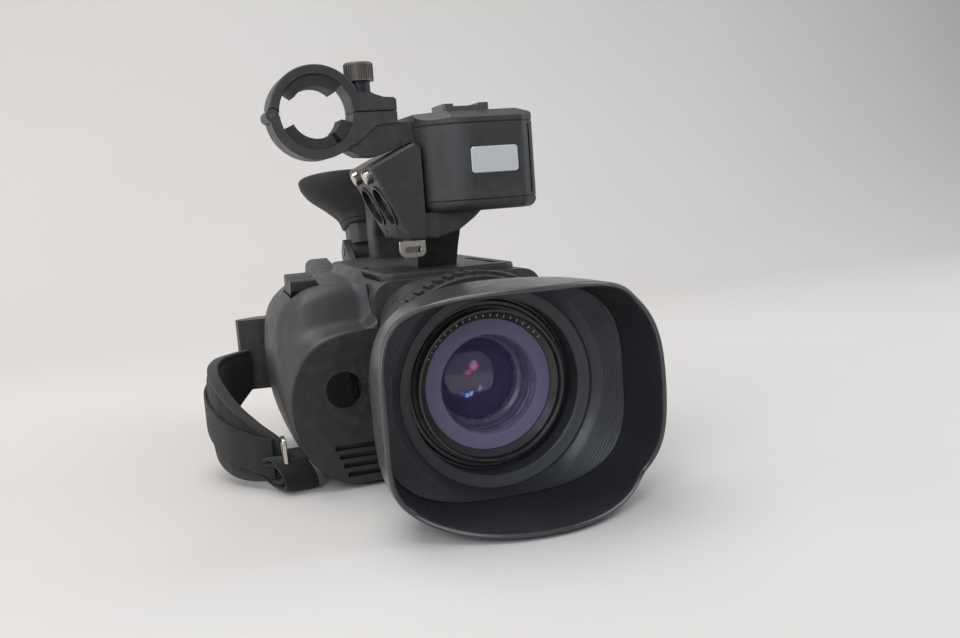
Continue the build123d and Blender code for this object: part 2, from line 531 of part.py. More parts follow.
# strap bar under the block
sbk = bx(-19.0, -6.7, 60.5, 62.3, 53.0, 60.6)
sbk = fil(sbk, lambda s: s.edges().filter_by(Axis.Y).group_by(Axis.Z)[0], 2.8, 2.0)
sbk = sbk - fil(bx(-16.8, -8.8, 50, 70, 55.0, 58.0), lambda s: s.edges().filter_by(Axis.Y), 1.2, 0.8)
put("neck_strap_bar", sbk)

# --------------------------- microphone holder -----------------------------
def arc_seg(ro, ri, a0, a1, y0, y1):
    n = 14
    pts = [(MIC_X + ro * cos(radians(a0 + (a1 - a0) * k / n)), MIC_Z + ro * sin(radians(a0 + (a1 - a0) * k / n))) for k in range(n + 1)]
    big = tube_y(ro, ri, y0, y1, MIC_X, MIC_Z)
    R = ro * 1.6
    wedge = [(MIC_X, MIC_Z)] + [(MIC_X + R * cos(radians(a0 + (a1 - a0) * k / n)), MIC_Z + R * sin(radians(a0 + (a1 - a0) * k / n))) for k in range(n + 1)]
    return big & poly_xz(wedge, y0 - 1, y1 + 1)


HPX, HPZ = -71.3, 121.4
armx = -14.0
up_prof = [(-36.0, SPLIT_Z + 0.3), (armx, SPLIT_Z + 0.3), (armx, 126.2), (-15.0, 127.2), (-20.0, 127.6), (-24.0, 129.0), (-26.0, 130.2),
           (-31.5, 130.2), (-36.0, 135.6), (-42.0, 140.0)]
ring_all = tube_y(MIC_RO, MIC_RI, MIC_Y0, MIC_Y1, MIC_X, MIC_Z)
upper = (cy(MIC_RO, MIC_Y0, MIC_Y1, MIC_X, MIC_Z) & bx(-80, 0, 60, 90, SPLIT_Z + 0.3, 150)) + poly_xz(up_prof, MIC_Y0, MIC_Y1)
upper = upper - cy(MIC_RI, 60, 90, MIC_X, MIC_Z)
low_prof = [(-34.0, SPLIT_Z), (armx, SPLIT_Z), (armx, 115.8), (-24, 115.0), (-34, 107.2), (-38, 106)]
lower = (cy(MIC_RO, MIC_Y0, MIC_Y1, MIC_X, MIC_Z) & bx(-80, 0, 60, 90, 90, SPLIT_Z)) + poly_xz(low_prof, MIC_Y0, MIC_Y1)
lower = lower - cy(MIC_RI, 60, 90, MIC_X, MIC_Z)
ka, kb = 70.0, 79.5
upper = upper - cy(3.5, 60, ka + 0.15, HPX, HPZ) - cy(3.5, kb - 0.15, 90, HPX, HPZ) + cy(3.0, ka + 0.15, kb - 0.15, HPX, HPZ)
lower = lower - cy(3.5, ka, kb, HPX, HPZ) + cy(3.0, MIC_Y0, ka, HPX, HPZ) + cy(3.0, kb, MIC_Y1, HPX, HPZ)
upper = upper - cy(1.25 + RUN, 60, 90, HPX, HPZ) - cy(MIC_RI, 60, 90, MIC_X, MIC_Z)
lower = lower - cy(1.25, 60, 90, HPX, HPZ) - cy(MIC_RI, 60, 90, MIC_X, MIC_Z)
# the upper knuckle may not touch the lower half and the other way round
upper = upper - (bx(-80, -69.0, 60, 90, 100, 150) & bx(-80, -69.0, 60, ka + 0.15, 100, SPLIT_Z + 0.3))
KY = (MIC_Y0 + MIC_Y1) / 2
upper = upper - cz(2.0 + RUN, 115, 140, CLAMP_X, KY) - cz(7.5, 130.2, 150, CLAMP_X, KY)
slot = bx(CLAMP_X - 3.4, CLAMP_X + 3.4, KY - 3.2, KY + 3.2, 116.5, 125)
lower = lower - slot
upper = max(upper.solids(), key=lambda q: q.volume)
lower = max(lower.solids(), key=lambda q: q.volume)
# soft edges on the front and rear faces
upper = fil(upper, lambda s: s.edges().filter_by(lambda e: abs(e.center().Y - MIC_Y0) < 0.01 and e.length > 12), 1.2, 0.8, 0.5)
lower = fil(lower, lambda s: s.edges().filter_by(lambda e: abs(e.center().Y - MIC_Y0) < 0.01 and e.length > 12), 1.2, 0.8, 0.5)
put("mic_ring_upper", upper)
put("mic_ring_lower", lower)
padu = [arc_seg(MIC_RI, MIC_PAD_R, a, b, MIC_Y0 + 1.2, MIC_Y1 - 1.2) for a, b in ((44, 142),)]
padu = [p & bx(-80, 0, 60, 90, SPLIT_Z + 0.8, 150) for p in padu]
padl = [arc_seg(MIC_RI, MIC_PAD_R, a, b, MIC_Y0 + 1.2, MIC_Y1 - 1.2) for a, b in ((204, 300), (308, 342))]
padl = [p & bx(-80, 0, 60, 90, 90, SPLIT_Z - 0.2) for p in padl]
put("mic_pads_upper", padu)
put("mic_pads_lower", padl)
# clamp knob with its screw
kn = cz(KNOB_R, 135.8, 144.4, CLAMP_X, KY)
kn = fil(kn, lambda s: s.edges().group_by(Axis.Z)[-1], 1.2, 0.8)
for k in range(36):
    a = 2 * pi * k / 36
    kn = kn - Pos(CLAMP_X, KY, 0) * Rot(0, 0, 360 * k / 36) * bx(KNOB_R - 0.35, KNOB_R + 1, -0.3, 0.3, 136.4, 143.0)
kn = kn + cz(4.9, 130.4, 135.8, CLAMP_X, KY) + cz(2.0, 117.4, 130.6, CLAMP_X, KY)
put("mic_clamp_knob", kn)
# bracket from the front unit to the ring
bp_ = [(-6.5, 105.9), (-9.3, 106.2), (-16.2, 103.4), (-25, 100.6), (-33.0, 101.2), (-38.0, 104.0), (-38.5, 107.0), (-33.8, 107.2), (-24, 115.0), (armx, 115.8), (-6.5, 115.8)]
mb_ = poly_xz(bp_, 66.5, 83.0) - cy(MIC_RO, 50, 100, MIC_X, MIC_Z) - xb
mb_ = mb_ - poly_xz(low_prof, 50, 100)
mb_ = max(mb_.solids(), key=lambda q: q.volume)
put("mic_bracket", mb_)

# ------------------------------ viewfinder ---------------------------------
vb = poly_yz([(189.0, 28.5), (202.0, 28.5), (202.0, 44.0), (198.0, 46.4), (189.0, 46.4)], -16.0, 20.0)
vb = fil(vb, lambda s: s.edges().filter_by(Axis.X).group_by(Axis.Y)[-1], 2.0, 1.0)
lugp = [(192, 29), (205, 33), (218.0, 43.5), (220.0, 50.0), (212.0, 58.2), (204.0, 52.0), (196, 46.4), (192, 46.0)]
la = poly_yz(lugp, -16.0, -12.4)
lb = poly_yz(lugp, 16.4, 20.0)
la = fil(la, lambda s: s.edges().filter_by(Axis.X).filter_by(lambda e: e.center().Y > 200), 2.5, 1.5)
lb = fil(lb, lambda s: s.edges().filter_by(Axis.X).filter_by(lambda e: e.center().Y > 200), 2.5, 1.5)
vb = vb + la + lb - cx(2.5, -30, 30, VF_Y, VF_Z) + Part()
put("viewfinder_base", vb)
vfp = Plane(origin=(0, VF_Y, VF_Z), x_dir=(1, 0, 0), z_dir=(0, cos(radians(VF_TILT)), sin(radians(VF_TILT))))


def vplane(s):
    return Plane(origin=(2.0, 0, s))


vt = extrude(Plane(origin=(2.0, 0, 3.0)) * RectangleRounded(28, 23, 5), amount=27.0)
vt = vt + extrude(Plane(origin=(-12.0, 0, 0), x_dir=(0, 1, 0), z_dir=(1, 0, 0)) * Circle(8.6), amount=28.0)
vt = vt - extrude(Plane(origin=(-30.0, 0, 0), x_dir=(0, 1, 0), z_dir=(1, 0, 0)) * Circle(2.5 + RUN), amount=60.0)
vt = vt - extrude(Plane(origin=(2.0, 0, 26.0)) * RectangleRounded(29, 24, 5.2), amount=0.6) + extrude(Plane(origin=(2.0, 0, 25.5)) * RectangleRounded(27, 22, 4.8), amount=1.5)
vt = vt - extrude(Plane(origin=(2.0, 0, 12.0)) * Circle(8.6), amount=30)
put("viewfinder_tube", vfp.location * vt)


def vw(s, a, b, cx0, cy0, n=2.6):
    pts = []
    for x, y in sup(a, b, n, n, cx0, cy0, 24):
        pts.append(Vector(x, y, s))
    return Wire([Edge.make_spline(pts, periodic=True)])


eo = Solid.make_loft([vw(15.0, 16.0, 13.6, 2.0, 0, 4), vw(20.0, 17.0, 14.2, 1.4, 0, 3.2), vw(27.0, 21.0, 15.8, -1.8, 0, 2.6), vw(36.0, 27.2, 18.4, -6.6, 0, 2.3), vw(42.0, 29.2, 20.0, -8.2, 0, 2.2), vw(46.0, 29.5, 20.5, -8.5, 0, 2.2)])
ei = Solid.make_loft([vw(33.0, 11.5, 9.4, 2.0, 0, 3), vw(35.0, 14.0, 11.0, 0.8, 0, 2.8), vw(39.6, 20.4, 14.4, -3.6, 0, 2.4), vw(46.6, 27.7, 18.7, -8.8, 0, 2.2)])
ec = eo - ei - extrude(Plane(origin=(2.0, 0, 20)) * Circle(9.0), amount=20)
ec = ec - extrude(Plane(origin=(2.0, 0, 10.0)) * RectangleRounded(28.1, 23.1, 5.05), amount=20.05)
put("eyecup", vfp.location * ec)
el = extrude(Plane(origin=(2.0, 0, 26.0)) * Circle(8.55), amount=6.2)
put("eyepiece_lens", vfp.location * el)

# steel hinge pins: viewfinder, microphone ring, screen
LPX, LPY = 43.0, 72.0
pins = [cx(2.5, -16.4, 20.4, VF_Y, VF_Z), cy(1.25, MIC_Y0 - 0.4, MIC_Y1 + 0.4, HPX, HPZ), cz(1.6, LCD_Z0 - 2.0, LCD_Z1 + 2.0, LPX, LPY)]
body_cut_pin = pins[2]
for nm in ("main_body_left_shell",):
    nodes[nm] = nodes[nm] - body_cut_pin
put("hinge_pins", pins)

# ------------------------------- screen door -------------------------------
ld = bx(LPX, 47.3, LPY, 164.6, LCD_Z0 + 0.8, LCD_Z1 - 0.8) + bx(38.7, LPX, LPY + 0.0, 164.6, LCD_Z0 + 0.8, LCD_Z1 - 0.8) + cz(4.3, LCD_Z0 + 0.8, LCD_Z1 - 0.8, LPX, LPY)
ld = fil(ld, lambda s: s.faces().sort_by(Axis.X)[-1].edges().filter_by(lambda e: e.center().Y > 80), 1.6, 1.0, 0.6)
ld = ld - cz(1.6 + RUN, -60, 60, LPX, LPY)
SC = (82.0, 160.0, -10.0, 32.0)
ld = ld - bx(30, 40.2, SC[0], SC[1], SC[2], SC[3])
put("lcd_door", ld)
ls = bx(38.95, 40.2, SC[0], SC[1], SC[2], SC[3])
put("lcd_screen", ls)

# memory card door
sd = bx(44.2, 46.2, SD_Y0 + 0.2, SD_Y1 - 0.2, SD_Z0 + 1.2, SD_Z1 - 0.3)
sd = sd + cy(1.0, SD_Y0 + 0.2, SD_Y1 - 0.2, 45.2, SD_Z0 + 1.2)
sd = sd - bx(45.7, 50, SD_Y1 - 8, SD_Y1 - 3, SD_Z1 - 4.5, SD_Z1)
put("sd_door", sd)

# ------------------------------ side controls ------------------------------
dl = cz(DIAL[3], DIAL[2] - 2.6, DIAL[2] + 2.6, DIAL[0], DIAL[1])
for k in range(30):
    dl = dl - Pos(DIAL[0], DIAL[1], 0) * Rot(0, 0, 12 * k) * bx(DIAL[3] - 0.5, DIAL[3] + 1, -0.35, 0.35, DIAL[2] - 2.0, DIAL[2] + 2.0)
dl = dl - cz(1.5 + RUN, -40, 0, DIAL[0], DIAL[1])
put("iris_dial", dl)
nodes["main_body_left_shell"] = nodes["main_body_left_shell"] + cz(1.5, DIAL[2] - 4.5, DIAL[2] + 4.5, DIAL[0], DIAL[1]) + \
    bx(37.0, 43.6, 57.0, 65.0, DIAL[2] + 3.1, DIAL[2] + 5.0) + bx(37.0, 43.6, 57.0, 65.0, DIAL[2] - 5.0, DIAL[2] - 3.1)
ns = bx(44.7, 48.2, 54.5, 60.5, 1.0, 9.0)
ns = fil(ns, lambda s: s.faces().sort_by(Axis.X)[-1].edges(), 1.0, 0.6)
for k in range(3):
    ns = ns - bx(47.7, 49, 53, 62, 3.0 + 1.6 * k, 3.6 + 1.6 * k)
put("nd_filter_switch", ns)
for nm, kz in (("audio_knob_1", 22.0), ("audio_knob_2", 4.0)):
    k_ = cx(5.4, 44.4, 49.0, 176.5, kz)
    k_ = fil(k_, lambda s: s.edges().group_by(Axis.X)[-1], 0.7, 0.4)
    k_ = k_ - bx(48.4, 50, 176.1, 176.9, kz, kz + 6)
    put(nm, k_)

# ------------------------------ rear and power -----------------------------
plate = bx(-26, 36, 189, 191.6, -42, 27)
plate = fil(plate, lambda s: s.edges().filter_by(Axis.Y), 4, 2)
plate = plate - bx(-4, 14, 190.6, 193, -34, -22)
put("battery_plate", plate)
bt = bx(-24, 34, 191.9, 231, -41, 22)
bt = fil(bt, lambda s: s.edges().filter_by(Axis.Y), 5, 3)
bt = fil(bt, lambda s: s.edges().group_by(Axis.Y)[-1], 2.5, 1.5, 1)
for k in range(5):
    bt = bt - bx(-14, 24, 230.3, 240, -30 + 4 * k, -28.6 + 4 * k)
bt = bt - bx(-30, 40, 196.0, 196.5, -60, 60) + bx(-23.4, 33.4, 195.5, 197.0, -40.4, 21.4)
put("battery", bt)

# ------------------------------- lens hood ---------------------------------
HS = [(9.6, sup(44.0, 44.0, 2, 2)), (4.0, sup(44.4, 44.2, 2, 2)), (-5.0, sup(50.0, 45.2, 2.45, 2.5)), (-16.0, sup(55.3, 45.9, 2.9, 3.2)),
      (-28.0, sup(57.2, 46.25, 3.0, 3.8)), (-40.0, sup(57.8, 46.3, 3.0, 4.0)), (-52.0, sup(58.0, 46.3, 3.0, 4.0)), (-63.0, sup(58.1, 46.3, 3.0, 4.0))]
HI = [(4.5, sup(42.4, 42.2, 2, 2)), (-5.0, sup(50.0 - HOOD_WALL, 45.2 - HOOD_WALL, 2.45, 2.5)), (-16.0, sup(55.3 - HOOD_WALL, 45.9 - HOOD_WALL, 2.9, 3.2)),
      (-28.0, sup(57.2 - HOOD_WALL, 46.25 - HOOD_WALL, 3.0, 3.8)), (-40.0, sup(57.8 - HOOD_WALL, 46.3 - HOOD_WALL, 3.0, 4.0)),
      (-52.0, sup(58.0 - HOOD_WALL, 46.3 - HOOD_WALL, 3.0, 4.0)), (-64.0, sup(58.1 - HOOD_WALL, 46.3 - HOOD_WALL, 3.0, 4.0))]
hood = lofted(HS)
hin = lofted(HI)
hood = hood - hin - cy(BARREL_R + 0.35, -20, 20)
fx = [(x, -62 + 24 * (x / 52.0) ** 2) for x in range(-70, 71, 5)]
fz = [(z, -47 + 9 * (z / 42.0) ** 2) for z in range(-60, 61, 5)]
ea = Edge.make_spline([Vector(x, y, -70) for x, y in fx])
wa = Polyline((fx[-1][0], fx[-1][1], -70), (fx[-1][0], -160, -70), (fx[0][0], -160, -70), (fx[0][0], fx[0][1], -70))
A = extrude(make_face([ea] + list(wa.edges())), amount=140, dir=(0, 0, 1))
eb = Edge.make_spline([Vector(-80, y, z) for z, y in fz])
wb = Polyline((-80, fz[-1][1], fz[-1][0]), (-80, -160, fz[-1][0]), (-80, -160, fz[0][0]), (-80, fz[0][1], fz[0][0]))
B = extrude(make_face([eb] + list(wb.edges())), amount=160, dir=(1, 0, 0))
hood = hood - (A & B)
hood = max(hood.solids(), key=lambda q: q.volume)
put("lens_hood", hood)
# funnel mask inside the hood
g = 0.15
MK = [(y, [(px * (1 - g / max(sqrt(px * px + pz * pz), 1.0)), pz * (1 - g / max(sqrt(px * px + pz * pz), 1.0))) for px, pz in p]) for y, p in HI]
fun = lofted([(-17.5, sup(52.6, 42.6, 3.2, 4.2)), (-13.0, sup(48.5, 42.0, 2.6, 2.8)), (-8.6, sup(42.6, 42.0, 2.0, 2.0))])
mk = (lofted(MK) & bx(-80, 80, -16.6, 4.3, -80, 80)) - fun - cy(37.0, -20, 10) - cy(41.9, -20, -8.4) - Pos(0, -7.5, 0) * Rot(-90, 0, 0) * Cone(41.9, 37.0, 2.0)
back = lofted([(6.0, sup(39.5, 39.5, 2, 2)), (0.0, sup(43.5, 40.5, 2.1, 2.1)), (-3.0, sup(45.5, 40.8, 2.3, 2.3))]) - cy(38.8, -20, 20)
mk = mk - back
mk = max(mk.solids(), key=lambda q: q.volume)
put("hood_mask", mk)

# ------------------------------- fasteners ---------------------------------
screws = list(scr)
for x, y in ((-20, 72), (-20, 165), (30, 72), (30, 165)):
    s = cz(2.4, FLOOR_Z + 0.3, -41.5, x, y)
    s = s - cz(1.1, FLOOR_Z - 1, FLOOR_Z + 1.3, x, y)
    nodes["base_plate"] = nodes["base_plate"] - cz(2.4, -60, -40, x, y)
    for nm in ("main_body_left_shell", "main_body_right_shell"):
        nodes[nm] = nodes[nm] - cz(2.4, -60, -40, x, y)
    screws.append(s)
for z in (34.0,):
    for x in (-30.0, 40.0):
        s = cy(2.2, 186.8, 188.7, x, z)
        nm = "main_body_left_shell" if x > 5 else "main_body_right_shell"
        nodes[nm] = nodes[nm] - cy(2.2, 186.8, 192, x, z)
        s = s - cy(1.0, 187.8, 190, x, z)
        screws.append(s)
put("cover_screws", screws)


# -------------------------------- export -----------------------------------
def solids_of(s):
    out = []
    for q in (s if isinstance(s, (list, tuple)) else [s]):
        out += [t for t in q.solids() if t.volume > 0.2]
    return out


os.makedirs("parts", exist_ok=True)
for name, s in nodes.items():
    sol = [t.moved(SHIFT) for t in solids_of(s)]
    for t in sol:
        t.label = name
    c = sol[0] if len(sol) == 1 else Compound(label=name, children=sol)
    c.label = name
    export_step(c, "parts/" + name + ".step")
print(len(nodes), "nodes")
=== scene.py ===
import json
from math import sin, cos, pi, radians, sqrt, atan2, hypot
import bpy
import numpy as np
from mathutils import Matrix, Vector


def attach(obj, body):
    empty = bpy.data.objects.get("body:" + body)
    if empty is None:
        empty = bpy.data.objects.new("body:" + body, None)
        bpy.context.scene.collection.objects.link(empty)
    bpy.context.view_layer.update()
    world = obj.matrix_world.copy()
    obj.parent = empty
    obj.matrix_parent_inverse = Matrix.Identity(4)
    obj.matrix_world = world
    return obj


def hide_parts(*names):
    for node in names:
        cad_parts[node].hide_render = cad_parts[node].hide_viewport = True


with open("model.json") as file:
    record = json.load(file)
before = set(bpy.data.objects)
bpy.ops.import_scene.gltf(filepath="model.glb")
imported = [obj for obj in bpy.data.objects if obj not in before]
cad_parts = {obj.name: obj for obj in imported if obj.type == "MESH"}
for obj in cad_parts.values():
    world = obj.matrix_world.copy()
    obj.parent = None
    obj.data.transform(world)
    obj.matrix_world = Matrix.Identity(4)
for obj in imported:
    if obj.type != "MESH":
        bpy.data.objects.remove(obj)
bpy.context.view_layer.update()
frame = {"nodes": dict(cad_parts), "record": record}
N = frame["nodes"]


# ---------------------------------------------------------------- helpers
def W(x, y, z):
    """working axes in millimetres (lens axis at x=z=0) to metres in the row frame"""
    return (x / 1000.0, (y - 75.0) / 1000.0, (z + 47.5) / 1000.0)


def mesh_obj(name, verts, faces, material, smooth_angle=35.0, mm=True):
    v = [W(*p) for p in verts] if mm else verts
    me = bpy.data.meshes.new(name)
    me.from_pydata(v, [], faces)
    me.validate()
    o = bpy.data.objects.new(name, me)
    bpy.context.scene.collection.objects.link(o)
    import bmesh
    bm = bmesh.new()
    bm.from_mesh(me)
    bmesh.ops.remove_doubles(bm, verts=bm.verts, dist=1e-7)
    bmesh.ops.recalc_face_normals(bm, faces=bm.faces)
    bm.to_mesh(me)
    bm.free()
    me.shade_smooth()
    me.set_sharp_from_angle(angle=radians(smooth_angle))
    if material is not None:
        me.materials.append(material)
    return o


def grid_faces(nu, nv, wrap_u=True, wrap_v=False, flip=False):
    f = []
    for i in range(nu if wrap_u else nu - 1):
        for j in range(nv if wrap_v else nv - 1):
            a = i * nv + j
            b = ((i + 1) % nu) * nv + j
            c = ((i + 1) % nu) * nv + (j + 1) % nv
            d = i * nv + (j + 1) % nv
            f.append((a, d, c, b) if flip else (a, b, c, d))
    return f


def spin(name, profile, material, n=192, closed=True, angle=35.0, cx=0.0, cz=0.0):
    """revolve (r, y) points about the lens axis"""
    verts = []
    for i in range(n):
        t = 2 * pi * i / n
        for r, y in profile:
            verts.append((cx + r * cos(t), y, cz + r * sin(t)))
    return mesh_obj(name, verts, grid_faces(n, len(profile), True, closed), material, angle)


def sup_r(t, a, b, n, m):
    c, s = abs(cos(t)), abs(sin(t))
    lo, hi = 0.0, 2.0 * max(a, b)
    for _ in range(34):
        r = (lo + hi) / 2
        if (r * c / a) ** n + (r * s / b) ** m < 1:
            lo = r
        else:
            hi = r
    return lo


def pchip(xs, ys, x):
    """smooth monotone interpolation, xs increasing"""
    xs = list(xs); ys = list(ys)
    if x <= xs[0]:
        return ys[0]
    if x >= xs[-1]:
        return ys[-1]
    k = max(i for i in range(len(xs) - 1) if xs[i] <= x)
    h = [xs[i + 1] - xs[i] for i in range(len(xs) - 1)]
    d = [(ys[i + 1] - ys[i]) / h[i] for i in range(len(h))]

    def slope(i):
        if i == 0:
            return d[0]
        if i == len(xs) - 1:
            return d[-1]
        if d[i - 1] * d[i] <= 0:
            return 0.0
        w1, w2 = 2 * h[i] + h[i - 1], h[i] + 2 * h[i - 1]
        return (w1 + w2) / (w1 / d[i - 1] + w2 / d[i])
    t = (x - xs[k]) / h[k]
    m0, m1 = slope(k), slope(k + 1)
    return ((1 + 2 * t) * (1 - t) ** 2 * ys[k] + t * (1 - t) ** 2 * h[k] * m0 + t * t * (3 - 2 * t) * ys[k + 1] + t * t * (t - 1) * h[k] * m1)


def catmull(P, n, closed=False):
    """sample a smooth curve through P (list of tuples) at n parameter values"""
    P = np.array(P, float)
    k = len(P)
    out = []
    for i in range(n):
        s = i / n * k if closed else i / (n - 1) * (k - 1)
        j = int(s)
        if not closed and j >= k - 1:
            j = k - 2
        t = s - j
        if closed:
            p0, p1, p2, p3 = P[(j - 1) % k], P[j % k], P[(j + 1) % k], P[(j + 2) % k]
        else:
            p0, p1, p2, p3 = P[max(j - 1, 0)], P[j], P[j + 1], P[min(j + 2, k - 1)]
        out.append(0.5 * ((2 * p1) + (-p0 + p2) * t + (2 * p0 - 5 * p1 + 4 * p2 - p3) * t * t + (-p0 + 3 * p1 - 3 * p2 + p3) * t ** 3))
    return np.array(out)


# ---------------------------------------------------------------- materials
def nodes_of(name):
    m = bpy.data.materials.new(name)
    m.use_nodes = True
    nt = m.node_tree
    b = nt.nodes["Principled BSDF"]
    return m, nt, b


def link(nt, a, ai, b, bi):
    nt.links.new(a.outputs[ai], b.inputs[bi])


def noise(nt, coord, scale, detail=3.0, rough=0.55, out="Object"):
    n = nt.nodes.new("ShaderNodeTexNoise")
    n.inputs["Scale"].default_value = scale
    n.inputs["Detail"].default_value = detail
    n.inputs["Roughness"].default_value = rough
    link(nt, coord, out, n, "Vector")
    return n


def ramp(nt, src, out, p0, c0, p1, c1):
    r = nt.nodes.new("ShaderNodeMapRange")
    r.inputs["From Min"].default_value = p0
    r.inputs["From Max"].default_value = p1
    r.inputs["To Min"].default_value = c0
    r.inputs["To Max"].default_value = c1
    link(nt, src, out, r, "Value")
    return r


def mixc(nt, fac_node, fac_out, a, b):
    x = nt.nodes.new("ShaderNodeMix")
    x.data_type = "RGBA"
    if fac_node is not None:
        nt.links.new(fac_node.outputs[fac_out], x.inputs[0])
    for k, c in ((6, a), (7, b)):
        if isinstance(c, tuple):
            x.inputs[k].default_value = (*c, 1.0) if len(c) == 3 else c
        else:
            nt.links.new(c, x.inputs[k])
    return x


def rgb(c, k=1.0):
    return tuple(max(0.0, min(1.0, v * k)) for v in c)


def plastic(name, base, rough=0.5, grain=1500.0, depth=0.00004, bump=0.35, var=0.18, metallic=0.0, spec=0.5,
            wear_and_highlight=0.20, wear_and_highlight_col=(0.11, 0.11, 0.115), dust=0.025, coat=0.0, coat_rough=0.2, rough_var=0.08, sheen=0.0, mid=220.0):
    m, nt, b = nodes_of(name)
    tc = nt.nodes.new("ShaderNodeTexCoord")
    b.inputs["Metallic"].default_value = metallic
    b.inputs["Specular IOR Level"].default_value = spec
    if coat:
        b.inputs["Coat Weight"].default_value = coat
        b.inputs["Coat Roughness"].default_value = coat_rough
    if sheen:
        b.inputs["Sheen Weight"].default_value = sheen
        b.inputs["Sheen Roughness"].default_value = 0.4
    big = noise(nt, tc, 28.0, 4.0)
    fine = noise(nt, tc, grain, 2.0, 0.6)
    med = noise(nt, tc, mid, 3.0, 0.6)
    f = ramp(nt, big, "Fac", 0.3, 0.0, 0.7, 1.0)
    c1 = mixc(nt, f, "Result", rgb(base, 1 - var), rgb(base, 1 + var))
    # dust and skin oil in faint patches
    d = ramp(nt, med, "Fac", 0.52, 0.0, 0.78, dust)
    c2 = mixc(nt, d, "Result", c1.outputs[2], (0.30, 0.29, 0.28))
    # lighter pointy edges: rubbed edge wear on most parts; on the baffle rings the pale lavender edge colour is a
    # painted highlight
    geo = nt.nodes.new("ShaderNodeNewGeometry")
    e = ramp(nt, geo, "Pointiness", 0.515, 0.0, 0.56, wear_and_highlight)
    em = nt.nodes.new("ShaderNodeMath"); em.operation = "MULTIPLY"
    link(nt, e, "Result", em, 0)
    e2 = ramp(nt, med, "Fac", 0.35, 0.3, 0.65, 1.0)
    link(nt, e2, "Result", em, 1)
    c3 = mixc(nt, em, "Value", c2.outputs[2], wear_and_highlight_col)
    nt.links.new(c3.outputs[2], b.inputs["Base Color"])
    r = ramp(nt, med, "Fac", 0.3, max(0.02, rough - rough_var), 0.7, min(1.0, rough + rough_var))
    link(nt, r, "Result", b, "Roughness")
    bp = nt.nodes.new("ShaderNodeBump")
    bp.inputs["Strength"].default_value = bump
    bp.inputs["Distance"].default_value = depth
    link(nt, fine, "Fac", bp, "Height")
    link(nt, bp, "Normal", b, "Normal")
    return m


def weave(name, base, pitch=0.0011, depth=0.00025, rough=0.85, thread=(1.0, 1.0), rib=False, use_uv=True):
    """woven nylon: two crossing sets of threads in the surface's own u (length) and v (width), in metres"""
    m, nt, b = nodes_of(name)
    tc = nt.nodes.new("ShaderNodeTexCoord")
    src = "UV" if use_uv else "Object"
    sep = nt.nodes.new("ShaderNodeSeparateXYZ")
    link(nt, tc, src, sep, "Vector")

    def wave(axis, p, phase_from=None):
        mu = nt.nodes.new("ShaderNodeMath"); mu.operation = "MULTIPLY"
        link(nt, sep, axis, mu, 0)
        mu.inputs[1].default_value = 2 * pi / p
        ad = nt.nodes.new("ShaderNodeMath"); ad.operation = "SINE"
        link(nt, mu, "Value", ad, 0)
        return ad
    u = wave("X", pitch * thread[0])
    v = wave("Y", pitch * thread[1])
    mul = nt.nodes.new("ShaderNodeMath"); mul.operation = "MULTIPLY"
    link(nt, u, "Value", mul, 0); link(nt, v, "Value", mul, 1)
    ab = nt.nodes.new("ShaderNodeMath"); ab.operation = "ABSOLUTE"
    link(nt, mul, "Value", ab, 0)
    add = nt.nodes.new("ShaderNodeMath"); add.operation = "ADD"
    link(nt, ab, "Value", add, 0)
    nz = noise(nt, tc, 900.0, 2.0)
    sc = nt.nodes.new("ShaderNodeMath"); sc.operation = "MULTIPLY"
    link(nt, nz, "Fac", sc, 0); sc.inputs[1].default_value = 0.35
    link(nt, sc, "Value", add, 1)
    bp = nt.nodes.new("ShaderNodeBump")
    bp.inputs["Strength"].default_value = 0.55
    bp.inputs["Distance"].default_value = depth
    link(nt, add, "Value", bp, "Height")
    link(nt, bp, "Normal", b, "Normal")
    big = noise(nt, tc, 60.0, 4.0)
    f = ramp(nt, big, "Fac", 0.3, 0.0, 0.7, 1.0)
    c1 = mixc(nt, f, "Result", rgb(base, 0.75), rgb(base, 1.3))
    # painted shade: the colour darkens to 0.45 of the base in the low spots between the threads
    g = ramp(nt, add, "Value", 0.1, 0.0, 1.1, 1.0)
    c2 = mixc(nt, g, "Result", rgb(base, 0.45), c1.outputs[2])
    lint = noise(nt, tc, 420.0, 5.0, 0.7)
    lr = ramp(nt, lint, "Fac", 0.60, 0.0, 0.80, 0.16)
    c3 = mixc(nt, lr, "Result", c2.outputs[2], (0.22, 0.21, 0.20))
    nt.links.new(c3.outputs[2], b.inputs["Base Color"])
    b.inputs["Roughness"].default_value = rough
    b.inputs["Sheen Weight"].default_value = 0.12
    b.inputs["Sheen Roughness"].default_value = 0.45
    return m


def metal(name, base, rough=0.3, scale=(400.0, 400.0, 40.0), bump=0.12):
    m, nt, b = nodes_of(name)
    tc = nt.nodes.new("ShaderNodeTexCoord")
    mp = nt.nodes.new("ShaderNodeMapping")
    mp.inputs["Scale"].default_value = scale
    link(nt, tc, "Object", mp, "Vector")
    n = nt.nodes.new("ShaderNodeTexNoise")
    n.inputs["Scale"].default_value = 6.0
    n.inputs["Detail"].default_value = 4.0
    link(nt, mp, "Vector", n, "Vector")
    b.inputs["Metallic"].default_value = 1.0
    f = ramp(nt, n, "Fac", 0.3, 0.0, 0.7, 1.0)
    c = mixc(nt, f, "Result", rgb(base, 0.82), rgb(base, 1.08))
    nt.links.new(c.outputs[2], b.inputs["Base Color"])
    r = ramp(nt, n, "Fac", 0.3, rough * 0.7, 0.7, rough * 1.35)
    link(nt, r, "Result", b, "Roughness")
    bp = nt.nodes.new("ShaderNodeBump")
    bp.inputs["Strength"].default_value = bump
    bp.inputs["Distance"].default_value = 0.00001
    link(nt, n, "Fac", bp, "Height")
    link(nt, bp, "Normal", b, "Normal")
    return m


